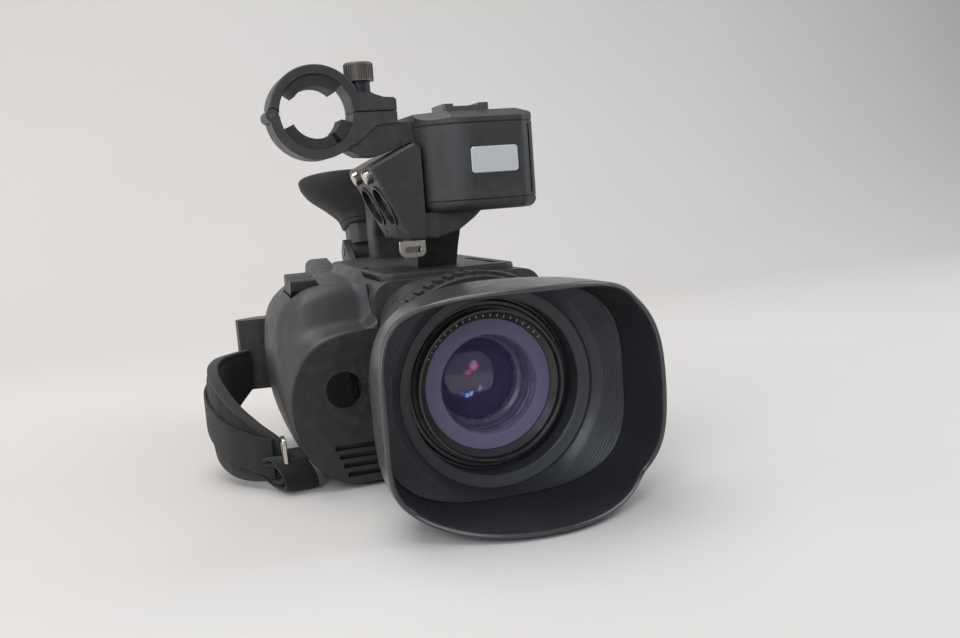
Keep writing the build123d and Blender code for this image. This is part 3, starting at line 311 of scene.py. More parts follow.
BODY = (0.029, 0.0292, 0.0298)
M = {}
M["body_plastic"] = plastic("body_plastic", BODY, 0.47, grain=1300.0, bump=0.5, depth=0.00006, var=0.07)
M["body_plastic_dark"] = plastic("body_plastic_dark", (0.015, 0.0153, 0.0158), 0.44, grain=1500.0, bump=0.45, depth=0.00005, wear_and_highlight=0.15, var=0.07)
M["rubber_black"] = plastic("rubber_black", (0.020, 0.0205, 0.020), 0.58, grain=900.0, bump=0.35, depth=0.00006, wear_and_highlight=0.08, dust=0.03, spec=0.4, var=0.08)
M["hood_plastic"] = plastic("hood_plastic", (0.026, 0.0265, 0.0295), 0.34, grain=2200.0, bump=0.12, depth=0.00002, var=0.05, wear_and_highlight=0.22, dust=0.01, spec=0.6, coat=0.35, coat_rough=0.32)
M["mask_plastic"] = plastic("mask_plastic", (0.043, 0.0455, 0.052), 0.42, grain=2600.0, bump=0.2, depth=0.00002, var=0.10, wear_and_highlight=0.08, dust=0.01)
M["lens_black"] = plastic("lens_black", (0.010, 0.009, 0.013), 0.5, grain=1800.0, bump=0.15, wear_and_highlight=0.05, dust=0.0)
M["lens_ring_metal"] = plastic("lens_ring_metal", (0.020, 0.020, 0.022), 0.30, grain=2200.0, bump=0.15, wear_and_highlight=0.25, dust=0.04, coat=0.3, coat_rough=0.25)
M["window_gloss"] = plastic("window_gloss", (0.004, 0.004, 0.005), 0.10, grain=600.0, bump=0.04, wear_and_highlight=0.0, dust=0.02, coat=1.0, coat_rough=0.05, rough_var=0.03)
M["screen_gloss"] = plastic("screen_gloss", (0.006, 0.006, 0.008), 0.12, grain=500.0, bump=0.03, wear_and_highlight=0.0, dust=0.03, coat=1.0, coat_rough=0.06, rough_var=0.04)
M["badge_light"] = plastic("badge_light", (0.66, 0.67, 0.69), 0.34, grain=2600.0, bump=0.18, depth=0.00002, var=0.02, metallic=0.35, wear_and_highlight=0.0, wear_and_highlight_col=(0.8, 0.8, 0.82), dust=0.0, rough_var=0.04)
M["steel"] = metal("steel", (0.16, 0.16, 0.165), 0.32)
M["bright_metal"] = metal("bright_metal", (0.62, 0.58, 0.52), 0.26)
M["dark_steel"] = plastic("dark_steel", (0.016, 0.016, 0.017), 0.32, grain=2500.0, metallic=0.6, wear_and_highlight=0.5, wear_and_highlight_col=(0.3, 0.3, 0.3), dust=0.05)
M["knob_metal"] = plastic("knob_metal", (0.105, 0.090, 0.082), 0.42, grain=2600.0, bump=0.9, depth=0.00010, var=0.12, metallic=0.35, wear_and_highlight=0.5, wear_and_highlight_col=(0.34, 0.30, 0.28), dust=0.12)
def dark_below(m, z_mm, col):
    nt = m.node_tree
    b = nt.nodes["Principled BSDF"]
    tc = nt.nodes.new("ShaderNodeTexCoord")
    sep = nt.nodes.new("ShaderNodeSeparateXYZ"); link(nt, tc, "Object", sep, "Vector")
    f = ramp(nt, sep, "Z", (z_mm - 0.06) / 1000, 1.0, (z_mm + 0.06) / 1000, 0.0)
    old = b.inputs["Base Color"].links[0].from_socket
    mx = mixc(nt, f, "Result", old, col)
    nt.links.new(mx.outputs[2], b.inputs["Base Color"])


dark_below(M["knob_metal"], 183.3, (0.020, 0.020, 0.023))
M["belt_fabric"] = weave("belt_fabric", (0.0070, 0.0070, 0.0068), pitch=0.0013)
M["webbing"] = weave("webbing", (0.0075, 0.0075, 0.0072), pitch=0.0016, thread=(1.0, 0.7), depth=0.0004)
M["webbing_edge"] = weave("webbing_edge", (0.016, 0.016, 0.0165), pitch=0.0009, depth=0.0002, rough=0.7)
M["socket_brass"] = metal("socket_brass", (0.52, 0.42, 0.20), 0.32, scale=(80, 80, 800))
M["board_green"] = plastic("board_green", (0.02, 0.10, 0.05), 0.35, grain=900.0)
M["sensor_metal"] = metal("sensor_metal", (0.4, 0.4, 0.42), 0.4)
M["button_red"] = plastic("button_red", (0.28, 0.012, 0.012), 0.28, grain=1600.0, bump=0.12, wear_and_highlight=0.1, wear_and_highlight_col=(0.5, 0.2, 0.18), dust=0.08, coat=0.4)
M["battery_plastic"] = plastic("battery_plastic", (0.028, 0.028, 0.031), 0.52, grain=1100.0, bump=0.55, depth=0.00007)


def glass(name, col, alpha, rough=0.03, edge_alpha=None, r0=21.4, coat=1.0, soft=0.35, spec=0.5):
    """coated glass: a tinted veil over what lies behind; the coating is stronger outside radius r0 (mm)"""
    m, nt, b = nodes_of(name)
    tc = nt.nodes.new("ShaderNodeTexCoord")
    sep = nt.nodes.new("ShaderNodeSeparateXYZ")
    link(nt, tc, "Object", sep, "Vector")
    sz = nt.nodes.new("ShaderNodeMath"); sz.operation = "SUBTRACT"; sz.inputs[1].default_value = 0.0475
    link(nt, sep, "Z", sz, 0)
    px = nt.nodes.new("ShaderNodeMath"); px.operation = "MULTIPLY"
    link(nt, sep, "X", px, 0); link(nt, sep, "X", px, 1)
    pz = nt.nodes.new("ShaderNodeMath"); pz.operation = "MULTIPLY"
    link(nt, sz, "Value", pz, 0); link(nt, sz, "Value", pz, 1)
    s = nt.nodes.new("ShaderNodeMath"); s.operation = "ADD"
    link(nt, px, "Value", s, 0); link(nt, pz, "Value", s, 1)
    rr = nt.nodes.new("ShaderNodeMath"); rr.operation = "SQRT"
    link(nt, s, "Value", rr, 0)
    big = noise(nt, tc, 30.0, 3.0)
    f = ramp(nt, big, "Fac", 0.3, 0.0, 0.7, 1.0)
    c = mixc(nt, f, "Result", rgb(col, 0.9), rgb(col, 1.1))
    nt.links.new(c.outputs[2], b.inputs["Base Color"])
    if edge_alpha is not None:
        a = ramp(nt, rr, "Value", (r0 - soft) / 1000, alpha, (r0 + soft) / 1000, edge_alpha)
        a.clamp = True
        link(nt, a, "Result", b, "Alpha")
    else:
        b.inputs["Alpha"].default_value = alpha
    sm = noise(nt, tc, 160.0, 4.0, 0.7)
    r = ramp(nt, sm, "Fac", 0.45, rough, 0.85, rough + 0.012)
    link(nt, r, "Result", b, "Roughness")
    b.inputs["Coat Weight"].default_value = coat
    b.inputs["Coat Roughness"].default_value = 0.02
    b.inputs["Coat Tint"].default_value = (0.80, 0.72, 1.0, 1.0)
    b.inputs["IOR"].default_value = 1.5
    b.inputs["Specular IOR Level"].default_value = spec
    return m


M["coated_glass"] = glass("coated_glass", (0.250, 0.220, 0.350), 0.05, edge_alpha=0.90, coat=0.0, spec=0.04)
M["inner_glass"] = glass("inner_glass", (0.052, 0.040, 0.105), 1.0, rough=0.06, coat=1.0)


def painted_reflections(m, spots):
    """painted reflections: soft tinted glowing spots drawn in place of light reflections in the inner glass: (x, z,
    half width, half height, softness) in mm and a colour
    """
    nt = m.node_tree
    b = nt.nodes["Principled BSDF"]
    tc = nt.nodes.new("ShaderNodeTexCoord")
    sep = nt.nodes.new("ShaderNodeSeparateXYZ"); link(nt, tc, "Object", sep, "Vector")
    wob = noise(nt, tc, 420.0, 2.0)
    wr = ramp(nt, wob, "Fac", 0.3, -0.0009, 0.7, 0.0009)
    last = None
    for x, z, hw, hh, soft, col in spots:
        ms = []
        for out, c0, h in (("X", x / 1000, hw / 1000), ("Z", 0.0475 + z / 1000, hh / 1000)):
            a = nt.nodes.new("ShaderNodeMath"); a.operation = "ADD"
            link(nt, sep, out, a, 0); link(nt, wr, "Result", a, 1)
            d = nt.nodes.new("ShaderNodeMath"); d.operation = "SUBTRACT"; d.inputs[1].default_value = c0
            link(nt, a, "Value", d, 0)
            q = nt.nodes.new("ShaderNodeMath"); q.operation = "ABSOLUTE"; link(nt, d, "Value", q, 0)
            ms.append(ramp(nt, q, "Value", max(h - soft / 1000, 0.0), 1.0, h + soft / 1000, 0.0))
        k = nt.nodes.new("ShaderNodeMath"); k.operation = "MULTIPLY"
        nt.links.new(ms[0].outputs[0], k.inputs[0]); nt.links.new(ms[1].outputs[0], k.inputs[1])
        if last is None:
            mx = mixc(nt, k, "Value", (0.0, 0.0, 0.0), col)
        else:
            mx = mixc(nt, k, "Value", last, col)
        last = mx.outputs[2]
    nt.links.new(last, b.inputs["Emission Color"])
    b.inputs["Emission Strength"].default_value = 0.75


# painted reflections: a pink highlight and light-blue window reflections drawn as glowing spots on the inner glass
painted_reflections(M["inner_glass"], [(-1.6, 5.6, 1.5, 1.0, 0.9, (0.75, 0.20, 0.25)), (-4.2, 3.4, 1.6, 0.5, 0.7, (0.45, 0.07, 0.10)),
                                  (-1.2, 7.2, 1.3, 0.45, 0.7, (0.22, 0.26, 0.24)), (-4.4, -6.6, 1.35, 1.0, 0.35, (0.26, 0.50, 0.80)),
                                  (-7.4, -6.2, 1.1, 0.5, 0.6, (0.10, 0.16, 0.40)), (0.6, -4.2, 0.35, 1.2, 0.5, (0.16, 0.30, 0.46))])


# index ring: fine engraved white graduations round the face of the filter ring, no characters
def index_ring_material():
    m = plastic("index_ring", (0.020, 0.020, 0.022), 0.30, grain=2200.0, bump=0.15, wear_and_highlight=0.25, dust=0.04, coat=0.3, coat_rough=0.25)
    nt = m.node_tree
    b = nt.nodes["Principled BSDF"]
    tc = nt.nodes.new("ShaderNodeTexCoord")
    sep = nt.nodes.new("ShaderNodeSeparateXYZ"); link(nt, tc, "Object", sep, "Vector")
    sz = nt.nodes.new("ShaderNodeMath"); sz.operation = "SUBTRACT"; sz.inputs[1].default_value = 0.0475
    link(nt, sep, "Z", sz, 0)
    at = nt.nodes.new("ShaderNodeMath"); at.operation = "ARCTAN2"
    link(nt, sz, "Value", at, 0); link(nt, sep, "X", at, 1)
    k = nt.nodes.new("ShaderNodeMath"); k.operation = "MULTIPLY"; k.inputs[1].default_value = 60.0
    link(nt, at, "Value", k, 0)
    sn = nt.nodes.new("ShaderNodeMath"); sn.operation = "SINE"; link(nt, k, "Value", sn, 0)
    g = ramp(nt, sn, "Value", 0.90, 0.0, 0.95, 1.0)
    # radius window
    ln = nt.nodes.new("ShaderNodeMath"); ln.operation = "MULTIPLY"; link(nt, sep, "X", ln, 0); link(nt, sep, "X", ln, 1)
    lz = nt.nodes.new("ShaderNodeMath"); lz.operation = "MULTIPLY"; link(nt, sz, "Value", lz, 0); link(nt, sz, "Value", lz, 1)
    la = nt.nodes.new("ShaderNodeMath"); la.operation = "ADD"; link(nt, ln, "Value", la, 0); link(nt, lz, "Value", la, 1)
    lr = nt.nodes.new("ShaderNodeMath"); lr.operation = "SQRT"; link(nt, la, "Value", lr, 0)
    w0 = ramp(nt, lr, "Value", 0.02905, 0.0, 0.02912, 1.0)
    w1 = ramp(nt, lr, "Value", 0.03015, 1.0, 0.03022, 0.0)
    a1 = ramp(nt, at, "Value", 0.60, 0.0, 0.62, 1.0)      # only round the upper part
    a2 = ramp(nt, at, "Value", 2.72, 1.0, 2.74, 0.0)
    cur = g
    for x in (w0, w1, a1, a2):
        mm = nt.nodes.new("ShaderNodeMath"); mm.operation = "MULTIPLY"
        nt.links.new(cur.outputs[0], mm.inputs[0]); nt.links.new(x.outputs[0], mm.inputs[1])
        cur = mm
    old = b.inputs["Base Color"].links[0].from_socket
    mx = mixc(nt, cur, 0, old, (0.55, 0.55, 0.56))
    nt.links.new(mx.outputs[2], b.inputs["Base Color"])
    return m


slot_of = {s["node"]: s["material_slot"] for s in frame["record"]["subparts"]}
for name, o in N.items():
    mt = M.get(slot_of.get(name, "body_plastic"), M["body_plastic"])
    o.data.materials.clear()
    o.data.materials.append(mt)
N["filter_ring"].data.materials[0] = index_ring_material()


def replace(piece, *names):
    body = None
    for b, members in frame["record"]["behaviour"]["bodies"].items():
        if names[0] in members:
            body = b
    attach(piece, body)
    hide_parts(*names)
    return piece


def join(objs, name):
    """one object from several"""
    bpy.ops.object.select_all(action="DESELECT")
    for o in objs:
        o.select_set(True)
    bpy.context.view_layer.objects.active = objs[0]
    bpy.ops.object.join()
    o = objs[0]
    o.name = name
    o.data.name = name
    return o


# ---------------------------------------------------------------- lens hood
HY = [-63.0, -52.0, -40.0, -28.0, -16.0, -5.0, 4.0, 9.6]
HA = [58.1, 58.0, 57.8, 57.2, 55.3, 50.0, 44.4, 44.0]
HB = [46.3, 46.3, 46.3, 46.25, 45.9, 45.2, 44.2, 44.0]
HN = [3.0, 3.0, 3.0, 3.0, 2.9, 2.45, 2.0, 2.0]
HM = [4.0, 4.0, 4.0, 3.8, 3.2, 2.5, 2.0, 2.0]
WALL = 2.1


def hood_r(t, y, inset=0.0):
    return sup_r(t, pchip(HY, HA, y) - inset, pchip(HY, HB, y) - inset, pchip(HY, HN, y), pchip(HY, HM, y))


NT = 288
th = [2 * pi * i / NT for i in range(NT)]


def lip_y(t):
    r = hood_r(t, -50.0)
    x, z = r * cos(t), r * sin(t)
    f = -62 + 24 * (x / 52.0) ** 2
    g = -47 + 9 * (z / 42.0) ** 2
    k = 2.2                     # soft blend where the two curves meet
    d = f - g
    return 0.5 * (f + g - sqrt(d * d + k * k)) + 0.5


lips = [lip_y(t) for t in th]
verts = []
for i, t in enumerate(th):
    ly = lips[i]
    prof = []
    ys = [9.6, 9.2, 6.0, 3.0, 0.0, -3.0, -6.0, -9.0, -12.0, -15.0, -18.0, -21.0, -24.0, -27.0]
    n_more = 12
    ys += [-27.0 + (ly + 1.2 + 27.0) * (k + 1) / n_more for k in range(n_more)]
    for y in ys:
        ins = 0.35 if y > 9.4 else 0.0
        prof.append((hood_r(t, y, ins), y))
    # rolled lip
    for a in (25, 55, 90, 125, 155):
        ra = radians(a)
        prof.append((hood_r(t, ly, WALL / 2) + (WALL / 2) * cos(ra), ly + 1.2 - 1.2 * sin(ra)))
    yi = [ly + 1.2 + (-19.0 - (ly + 1.2)) * k / 10 for k in range(11)]
    for y in yi:
        prof.append((hood_r(t, y, WALL), y))
    # step where the mask is clipped in
    prof.append((hood_r(t, -18.4, WALL), -18.4))
    prof.append((hood_r(t, -18.2, WALL - 0.0), -17.9))
    for y in (-14.0, -10.0, -6.0, -2.0, 2.0):
        prof.append((hood_r(t, y, WALL), y))
    prof.append((hood_r(t, 4.3, WALL - 0.3), 4.3))
    prof.append((36.4, 4.5))
    prof.append((36.4, 9.4))
    prof.append((36.8, 9.6))
    for r, y in prof:
        verts.append((r * cos(t), y, r * sin(t)))
np_ = len(prof)
hood = mesh_obj("hood_shell", verts, grid_faces(NT, np_, True, True), M["hood_plastic"], 40.0)
replace(hood, "lens_hood")

# ---------------------------------------------------------------- ribbed mask
NM = 420
NR = 150
verts = []
for i in range(NM):
    t = 2 * pi * i / NM
    rb = hood_r(t, -17.0, WALL) - 0.22
    prof = [(39.6, 4.2), (37.35, 4.2), (37.0, 3.8), (37.0, -6.1), (37.15, -6.45), (37.5, -6.7), (38.6, -7.05), (41.2, -8.0), (41.75, -8.25), (41.95, -8.15),
            (42.05, -7.7), (42.35, -7.7), (42.45, -8.3), (42.65, -8.62)]
    r0, y0 = prof[-1]
    yb = -17.2
    for k in range(1, NR + 1):
        s = k / NR
        r = r0 + (rb - r0) * s
        y = y0 + (yb - y0) * (s ** 0.92)
        # circular anti-glare grooves
        w = min(1.0, max(0.0, (r - 45.5) / 1.5)) * min(1.0, (1 - s) / 0.04)
        ph = (r / 1.05) % 1.0
        y += 0.30 * w * (1.0 - abs(2 * ph - 1.0) ** 1.5 * 1.0) * 1.0
        prof.append((r, y))
    prof.append((rb + 0.06, yb + 0.5))
    for y in (-14.5, -11.0, -8.0, -5.0, -3.5):
        prof.append((hood_r(t, y, WALL) - 0.22, y))
    prof.append((min(hood_r(t, -2.0, WALL) - 0.3, 44.5), -2.0))
    prof.append((min(hood_r(t, 4.0, WALL) - 0.3, 41.0), 3.9))
    for r, y in prof:
        verts.append((r * cos(t), y, r * sin(t)))
mask = mesh_obj("hood_mask_ribbed", verts, grid_faces(NM, len(prof), True, True), M["mask_plastic"], 40.0)
replace(mask, "hood_mask")

# ---------------------------------------------------------------- glass and baffle
def arc_pts(ya, ra, yc, n=24):
    """points from the edge (ra, ya) to the centre (0, yc) on a circle arc, radius first"""
    s = ya - yc
    out = []
    for k in range(n + 1):
        r = ra * (1 - k / n)
        R = (ra * ra + s * s) / (2 * abs(s))
        d = R - sqrt(max(R * R - r * r, 0))
        out.append((max(r, 0.0), yc + (d if s > 0 else -d)))
    return out


front = arc_pts(3.07, 28.05, 1.12)
rear = arc_pts(5.2, 15.2, 3.3)
prof = [(28.05, 5.0)] + front + list(reversed(rear)) + [(27.9, 5.2)]
fe = spin("front_glass", prof, M["coated_glass"], 160)
replace(fe, "front_element")

bprof = [(33.4, 7.15), (33.4, 43.5), (13.4, 43.5), (13.4, 34.4), (15.2, 34.2), (15.2, 27.2), (15.5, 26.8), (16.4, 26.2), (16.6, 25.8), (16.6, 22.2), (16.9, 21.9),
         (18.1, 21.8), (18.3, 21.6), (18.3, 17.6), (18.5, 17.2), (19.9, 16.5), (20.2, 16.2), (20.2, 12.9), (20.4, 12.6), (20.8, 12.3), (20.9, 12.0), (20.9, 9.2), (21.1, 8.9),
         (21.5, 8.7), (21.6, 8.4), (21.6, 7.7), (21.9, 7.35), (23.4, 7.15)]
# painted highlight: the pale lavender edge colour makes the baffle's ring steps light, as highlights
M["baffle"] = plastic("baffle", (0.135, 0.125, 0.215), 0.28, grain=1800.0, bump=0.02, depth=0.00001, wear_and_highlight=0.9, wear_and_highlight_col=(0.42, 0.38, 0.60), dust=0.0, var=0.03, rough_var=0.03)
bf = spin("baffle_rings", bprof, M["baffle"], 160)
replace(bf, "lens_baffle")
i1 = arc_pts(20.9, 17.9, 17.0)
g1 = spin("second_glass", [(17.9, 21.6)] + i1 + [(0.0, 21.6)], M["inner_glass"], 128)
i2 = arc_pts(31.0, 15.0, 28.0)
g2 = spin("third_glass", [(15.0, 33.9)] + i2 + [(0.0, 33.9)], M["inner_glass"], 128)
inner = join([g1, g2], "inner_glass_group")
replace(inner, "inner_lens_group")

# ---------------------------------------------------------------- eyecup
c75, s75 = cos(radians(75.0)), sin(radians(75.0))


def vf(x, v, s):
    """viewfinder local (x across, v down its own depth, s along its axis) to working axes"""
    return (x, 212.0 + v * s75 + s * c75, 50.0 - v * c75 + s * s75)


ES = [15.0, 20.0, 27.0, 36.0, 42.0, 46.0]
EA = [15.9, 17.0, 21.0, 27.2, 29.1, 29.45]
EB = [13.5, 14.2, 15.8, 18.4, 20.0, 20.45]
EC = [2.0, 1.4, -1.8, -6.6, -8.2, -8.5]
EN = [4.0, 3.2, 2.6, 2.3, 2.2, 2.2]
IS = [31.0, 33.0, 36.0, 40.0, 43.0, 46.0]
IA = [10.5, 12.5, 16.5, 22.0, 25.4, 27.5]
IB = [9.6, 10.4, 12.4, 15.4, 17.2, 18.5]
IC = [2.0, 1.2, -1.2, -5.0, -7.4, -8.5]
IN = [2.2, 2.4, 2.4, 2.3, 2.2, 2.2]
verts = []
NE = 144
for i in range(NE):
    t = 2 * pi * i / NE
    prof = []

    def er(s, inset):
        return sup_r(t, pchip(ES, EA, s) - inset, pchip(ES, EB, s) - inset, pchip(ES, EN, s), pchip(ES, EN, s)), pchip(ES, EC, s)

    def ir(s):
        return sup_r(t, pchip(IS, IA, s), pchip(IS, IB, s), pchip(IS, IN, s), pchip(IS, IN, s)), pchip(IS, IC, s)
    # collar round the tube, with a rounded edge and one shallow moulded groove
    prof.append(((sup_r(t, 14.1, 11.6, 5, 5), 2.0), 30.1))
    prof.append(((sup_r(t, 14.1, 11.6, 5, 5), 2.0), 15.4))
    prof.append(((sup_r(t, 14.5, 12.0, 4.6, 4.6), 2.0), 15.05))
    prof.append((er(15.0, 0.8), 15.0))
    prof.append((er(15.2, 0.3), 15.2))
    for s in (15.7, 17.0, 17.5):
        prof.append((er(s, 0.0), s))
    for s in (17.6, 18.3):
        prof.append((er(s, 0.5), s))
    for k in range(0, 27):
        s = 18.4 + (45.0 - 18.4) * k / 26
        prof.append((er(s, 0.0), s))
    for a in (30, 60, 90, 120, 150):
        ra = radians(a)
        r, c = er(45.0, 0.95)
        prof.append(((r + 0.95 * cos(ra), c), 45.0 + 0.95 * sin(ra)))
    for k in range(0, 21):
        s = 45.0 - (45.0 - 31.2) * k / 20
        prof.append((ir(s), s))
    prof.append(((9.3, 2.0), 30.9))
    prof.append(((9.1, 2.0), 30.6))
    prof.append(((9.1, 2.0), 30.2))
    for (r, c), s in prof:
        verts.append(vf(c + r * cos(t), r * sin(t), s))
cup = mesh_obj("eyecup_rubber", verts, grid_faces(NE, len(prof), True, True), M["rubber_black"], 50.0)
replace(cup, "eyecup")

# ---------------------------------------------------------------- hand belt
PAD = [(-84.5, 60.5, -32.0, 8.5, 3.0), (-91.5, 68.0, -30.5, 12.5, 4.5), (-100.0, 80.0, -26.5, 16.5, 6.5),
       (-105.5, 94.0, -20.5, 19.0, 7.0), (-106.5, 108.0, -15.0, 18.5, 7.0), (-102.5, 121.0, -10.0, 16.0, 6.5),
       (-94.0, 131.0, -6.0, 12.5, 5.0), (-87.2, 136.6, -3.0, 10.0, 4.0)]
PADV = [(-82.9, 58.4, -32.2, 5.2, 1.8)] + PAD[:-1] + [(-86.4, 137.4, -2.8, 9.4, 3.6)]


def ribbon(name, path, material, n_len=120, n_ring=32, flat=0.35, crown=0.0, wrinkle=0.0, seed=1, off=0.0):
    """band along path points (x, y, z, half width, thickness); width runs along Z. Gives UVs in metres"""
    P = catmull([p[:5] for p in path], n_len)
    rng = np.random.RandomState(seed)
    ph = rng.rand(6) * 2 * pi
    L = [0.0]
    for i in range(1, n_len):
        L.append(L[-1] + float(np.linalg.norm(P[i][:3] - P[i - 1][:3])))
    verts, uv = [], []
    for i in range(n_len):
        a, b = P[max(i - 1, 0)], P[min(i + 1, n_len - 1)]
        tx, ty = b[0] - a[0], b[1] - a[1]
        l = hypot(tx, ty)
        tx, ty = tx / l, ty / l
        nx, ny = ty, -tx
        x, y, z, h, tk = P[i]
        for k in range(n_ring):
            w = 2 * pi * k / n_ring
            c, s = cos(w), sin(w)
            v = (abs(s) ** 0.42) * (1 if s >= 0 else -1) * h
            q = v / h
            prof = (1 - abs(q) ** 5) ** 0.5 if abs(q) < 1 else 0.0
            u = (1 if c >= 0 else -1) * (abs(c) ** flat) * tk / 2 * (1 - crown + crown * prof)
            if wrinkle:
                u += wrinkle * (sin(L[i] * 0.33 + ph[0] + 2.0 * q) + 0.6 * sin(L[i] * 0.71 + ph[1] - 3.0 * q)) * (0.4 + 0.6 * abs(q)) * (0.3 if c > 0 else 1.0)
            verts.append((x + nx * (u + off), y + ny * (u + off), z + v))
            uv.append((L[i] / 1000, v / 1000))
    faces = [(i * n_ring + k, (i + 1) * n_ring + k, (i + 1) * n_ring + (k + 1) % n_ring, i * n_ring + (k + 1) % n_ring)
             for i in range(n_len - 1) for k in range(n_ring)]
    faces.append(tuple(range(n_ring)))
    faces.append(tuple((n_len - 1) * n_ring + k for k in reversed(range(n_ring))))
    me = bpy.data.meshes.new(name)
    me.from_pydata([W(*p) for p in verts], [], faces)
    lay = me.uv_layers.new(name="UVMap")
    for poly in me.polygons:
        for li in poly.loop_indices:
            lay.data[li].uv = uv[me.loops[li].vertex_index]
    o = bpy.data.objects.new(name, me)
    bpy.context.scene.collection.objects.link(o)
    me.shade_smooth()
    me.set_sharp_from_angle(angle=radians(60))
    me.materials.append(material)
    return o


def edge_roll(name, path, sign, material, r=0.9, n_len=140):
    """binding tape rolled over one long edge of the pad"""
    pts = [(p[0], p[1], p[2] + sign * (p[3] - 0.4), 1.7, p[4] * 0.62 + 1.0) for p in path]
    return ribbon(name, pts, material, n_len, 20, flat=0.6, seed=3)


pad = ribbon("belt_pad", PADV, M["belt_fabric"], 150, 48, flat=0.30, crown=0.35, wrinkle=0.16)
e1 = edge_roll("belt_edge_top", PADV, 1, M["webbing_edge"])
e2 = edge_roll("belt_edge_low", PADV, -1, M["webbing_edge"])
pad = join([pad, e1, e2], "belt_pad")
replace(pad, "hand_belt_pad")

# webbing over the pad and round the front ring, with its stitched tail
SIDE = [(p[0], p[1], p[2], 8.8, 1.5) for p in PAD[:6]]
offs = [-(PAD[i][4] / 2 + 1.15) for i in range(6)]
SO = []
for i in range(6):
    a, b = PAD[max(i - 1, 0)], PAD[min(i + 1, 7)]
    tx, ty = b[0] - a[0], b[1] - a[1]
    l = hypot(tx, ty)
    nx, ny = ty / l, -tx / l
    SO.append((PAD[i][0] + nx * offs[i], PAD[i][1] + ny * offs[i], PAD[i][2], 8.8, 1.5))
web = ribbon("belt_webbing", SO, M["webbing"], 110, 28, flat=0.25)
replace(web, "belt_strap")

# stitched tail of the webbing, folded down through the ring and back under
def band(name, path, wvec, half, thick, material, n_len=80, n_ring=24, taper=None):
    P = catmull(path, n_len)
    wv = np.array(wvec, float)
    wv /= np.linalg.norm(wv)
    verts, uv, L = [], [], 0.0
    for i in range(n_len):
        a, b = P[max(i - 1, 0)], P[min(i + 1, n_len - 1)]
        tg = (b - a) / np.linalg.norm(b - a)
        nn = np.cross(wv, tg)
        nn /= np.linalg.norm(nn)
        if i:
            L += float(np.linalg.norm(P[i] - P[i - 1]))
        h = half if taper is None else half * pchip([0, 0.5, 1], taper, i / (n_len - 1))
        for k in range(n_ring):
            w = 2 * pi * k / n_ring
            c, q = cos(w), sin(w)
            v = (abs(q) ** 0.35) * (1 if q >= 0 else -1) * h
            u = (1 if c >= 0 else -1) * (abs(c) ** 0.3) * thick / 2
            p = P[i] + wv * v + nn * u
            verts.append(tuple(p))
            uv.append((L / 1000, v / 1000))
    faces = [(i * n_ring + k, (i + 1) * n_ring + k, (i + 1) * n_ring + (k + 1) % n_ring, i * n_ring + (k + 1) % n_ring)
             for i in range(n_len - 1) for k in range(n_ring)]
    faces.append(tuple(range(n_ring)))
    faces.append(tuple((n_len - 1) * n_ring + k for k in reversed(range(n_ring))))
    me = bpy.data.meshes.new(name)
    me.from_pydata([W(*p) for p in verts], [], faces)
    lay = me.uv_layers.new(name="UVMap")
    for poly in me.polygons:
        for li in poly.loop_indices:
            lay.data[li].uv = uv[me.loops[li].vertex_index]
    o = bpy.data.objects.new(name, me)
    bpy.context.scene.collection.objects.link(o)
    me.shade_smooth()
    me.set_sharp_from_angle(angle=radians(60))
    me.materials.append(material)
    return o


t1 = band("tail_outer", [(-84.2, 61.5, -33.5), (-82.2, 57.0, -31.8), (-80.0, 52.5, -33.0), (-77.5, 49.0, -37.5), (-76.2, 48.6, -42.0), (-76.4, 51.5, -45.3), (-78.5, 57.0, -45.9), (-81.5, 63.0, -44.6), (-85.0, 68.0, -41.5)],
          (0.93, 0.22, -0.10), 8.0, 1.5, M["webbing"], 110)
t2 = band("tail_inner", [(-83.5, 62.5, -36.0), (-80.6, 56.5, -35.2), (-78.6, 52.8, -37.2), (-77.6, 51.8, -40.6), (-78.6, 54.0, -43.0), (-81.5, 60.0, -43.2)],
          (0.93, 0.22, -0.10), 7.2, 1.3, M["webbing"], 80)
tail = join([t1, t2], "belt_tail")
replace(tail, "belt_tail_loop")

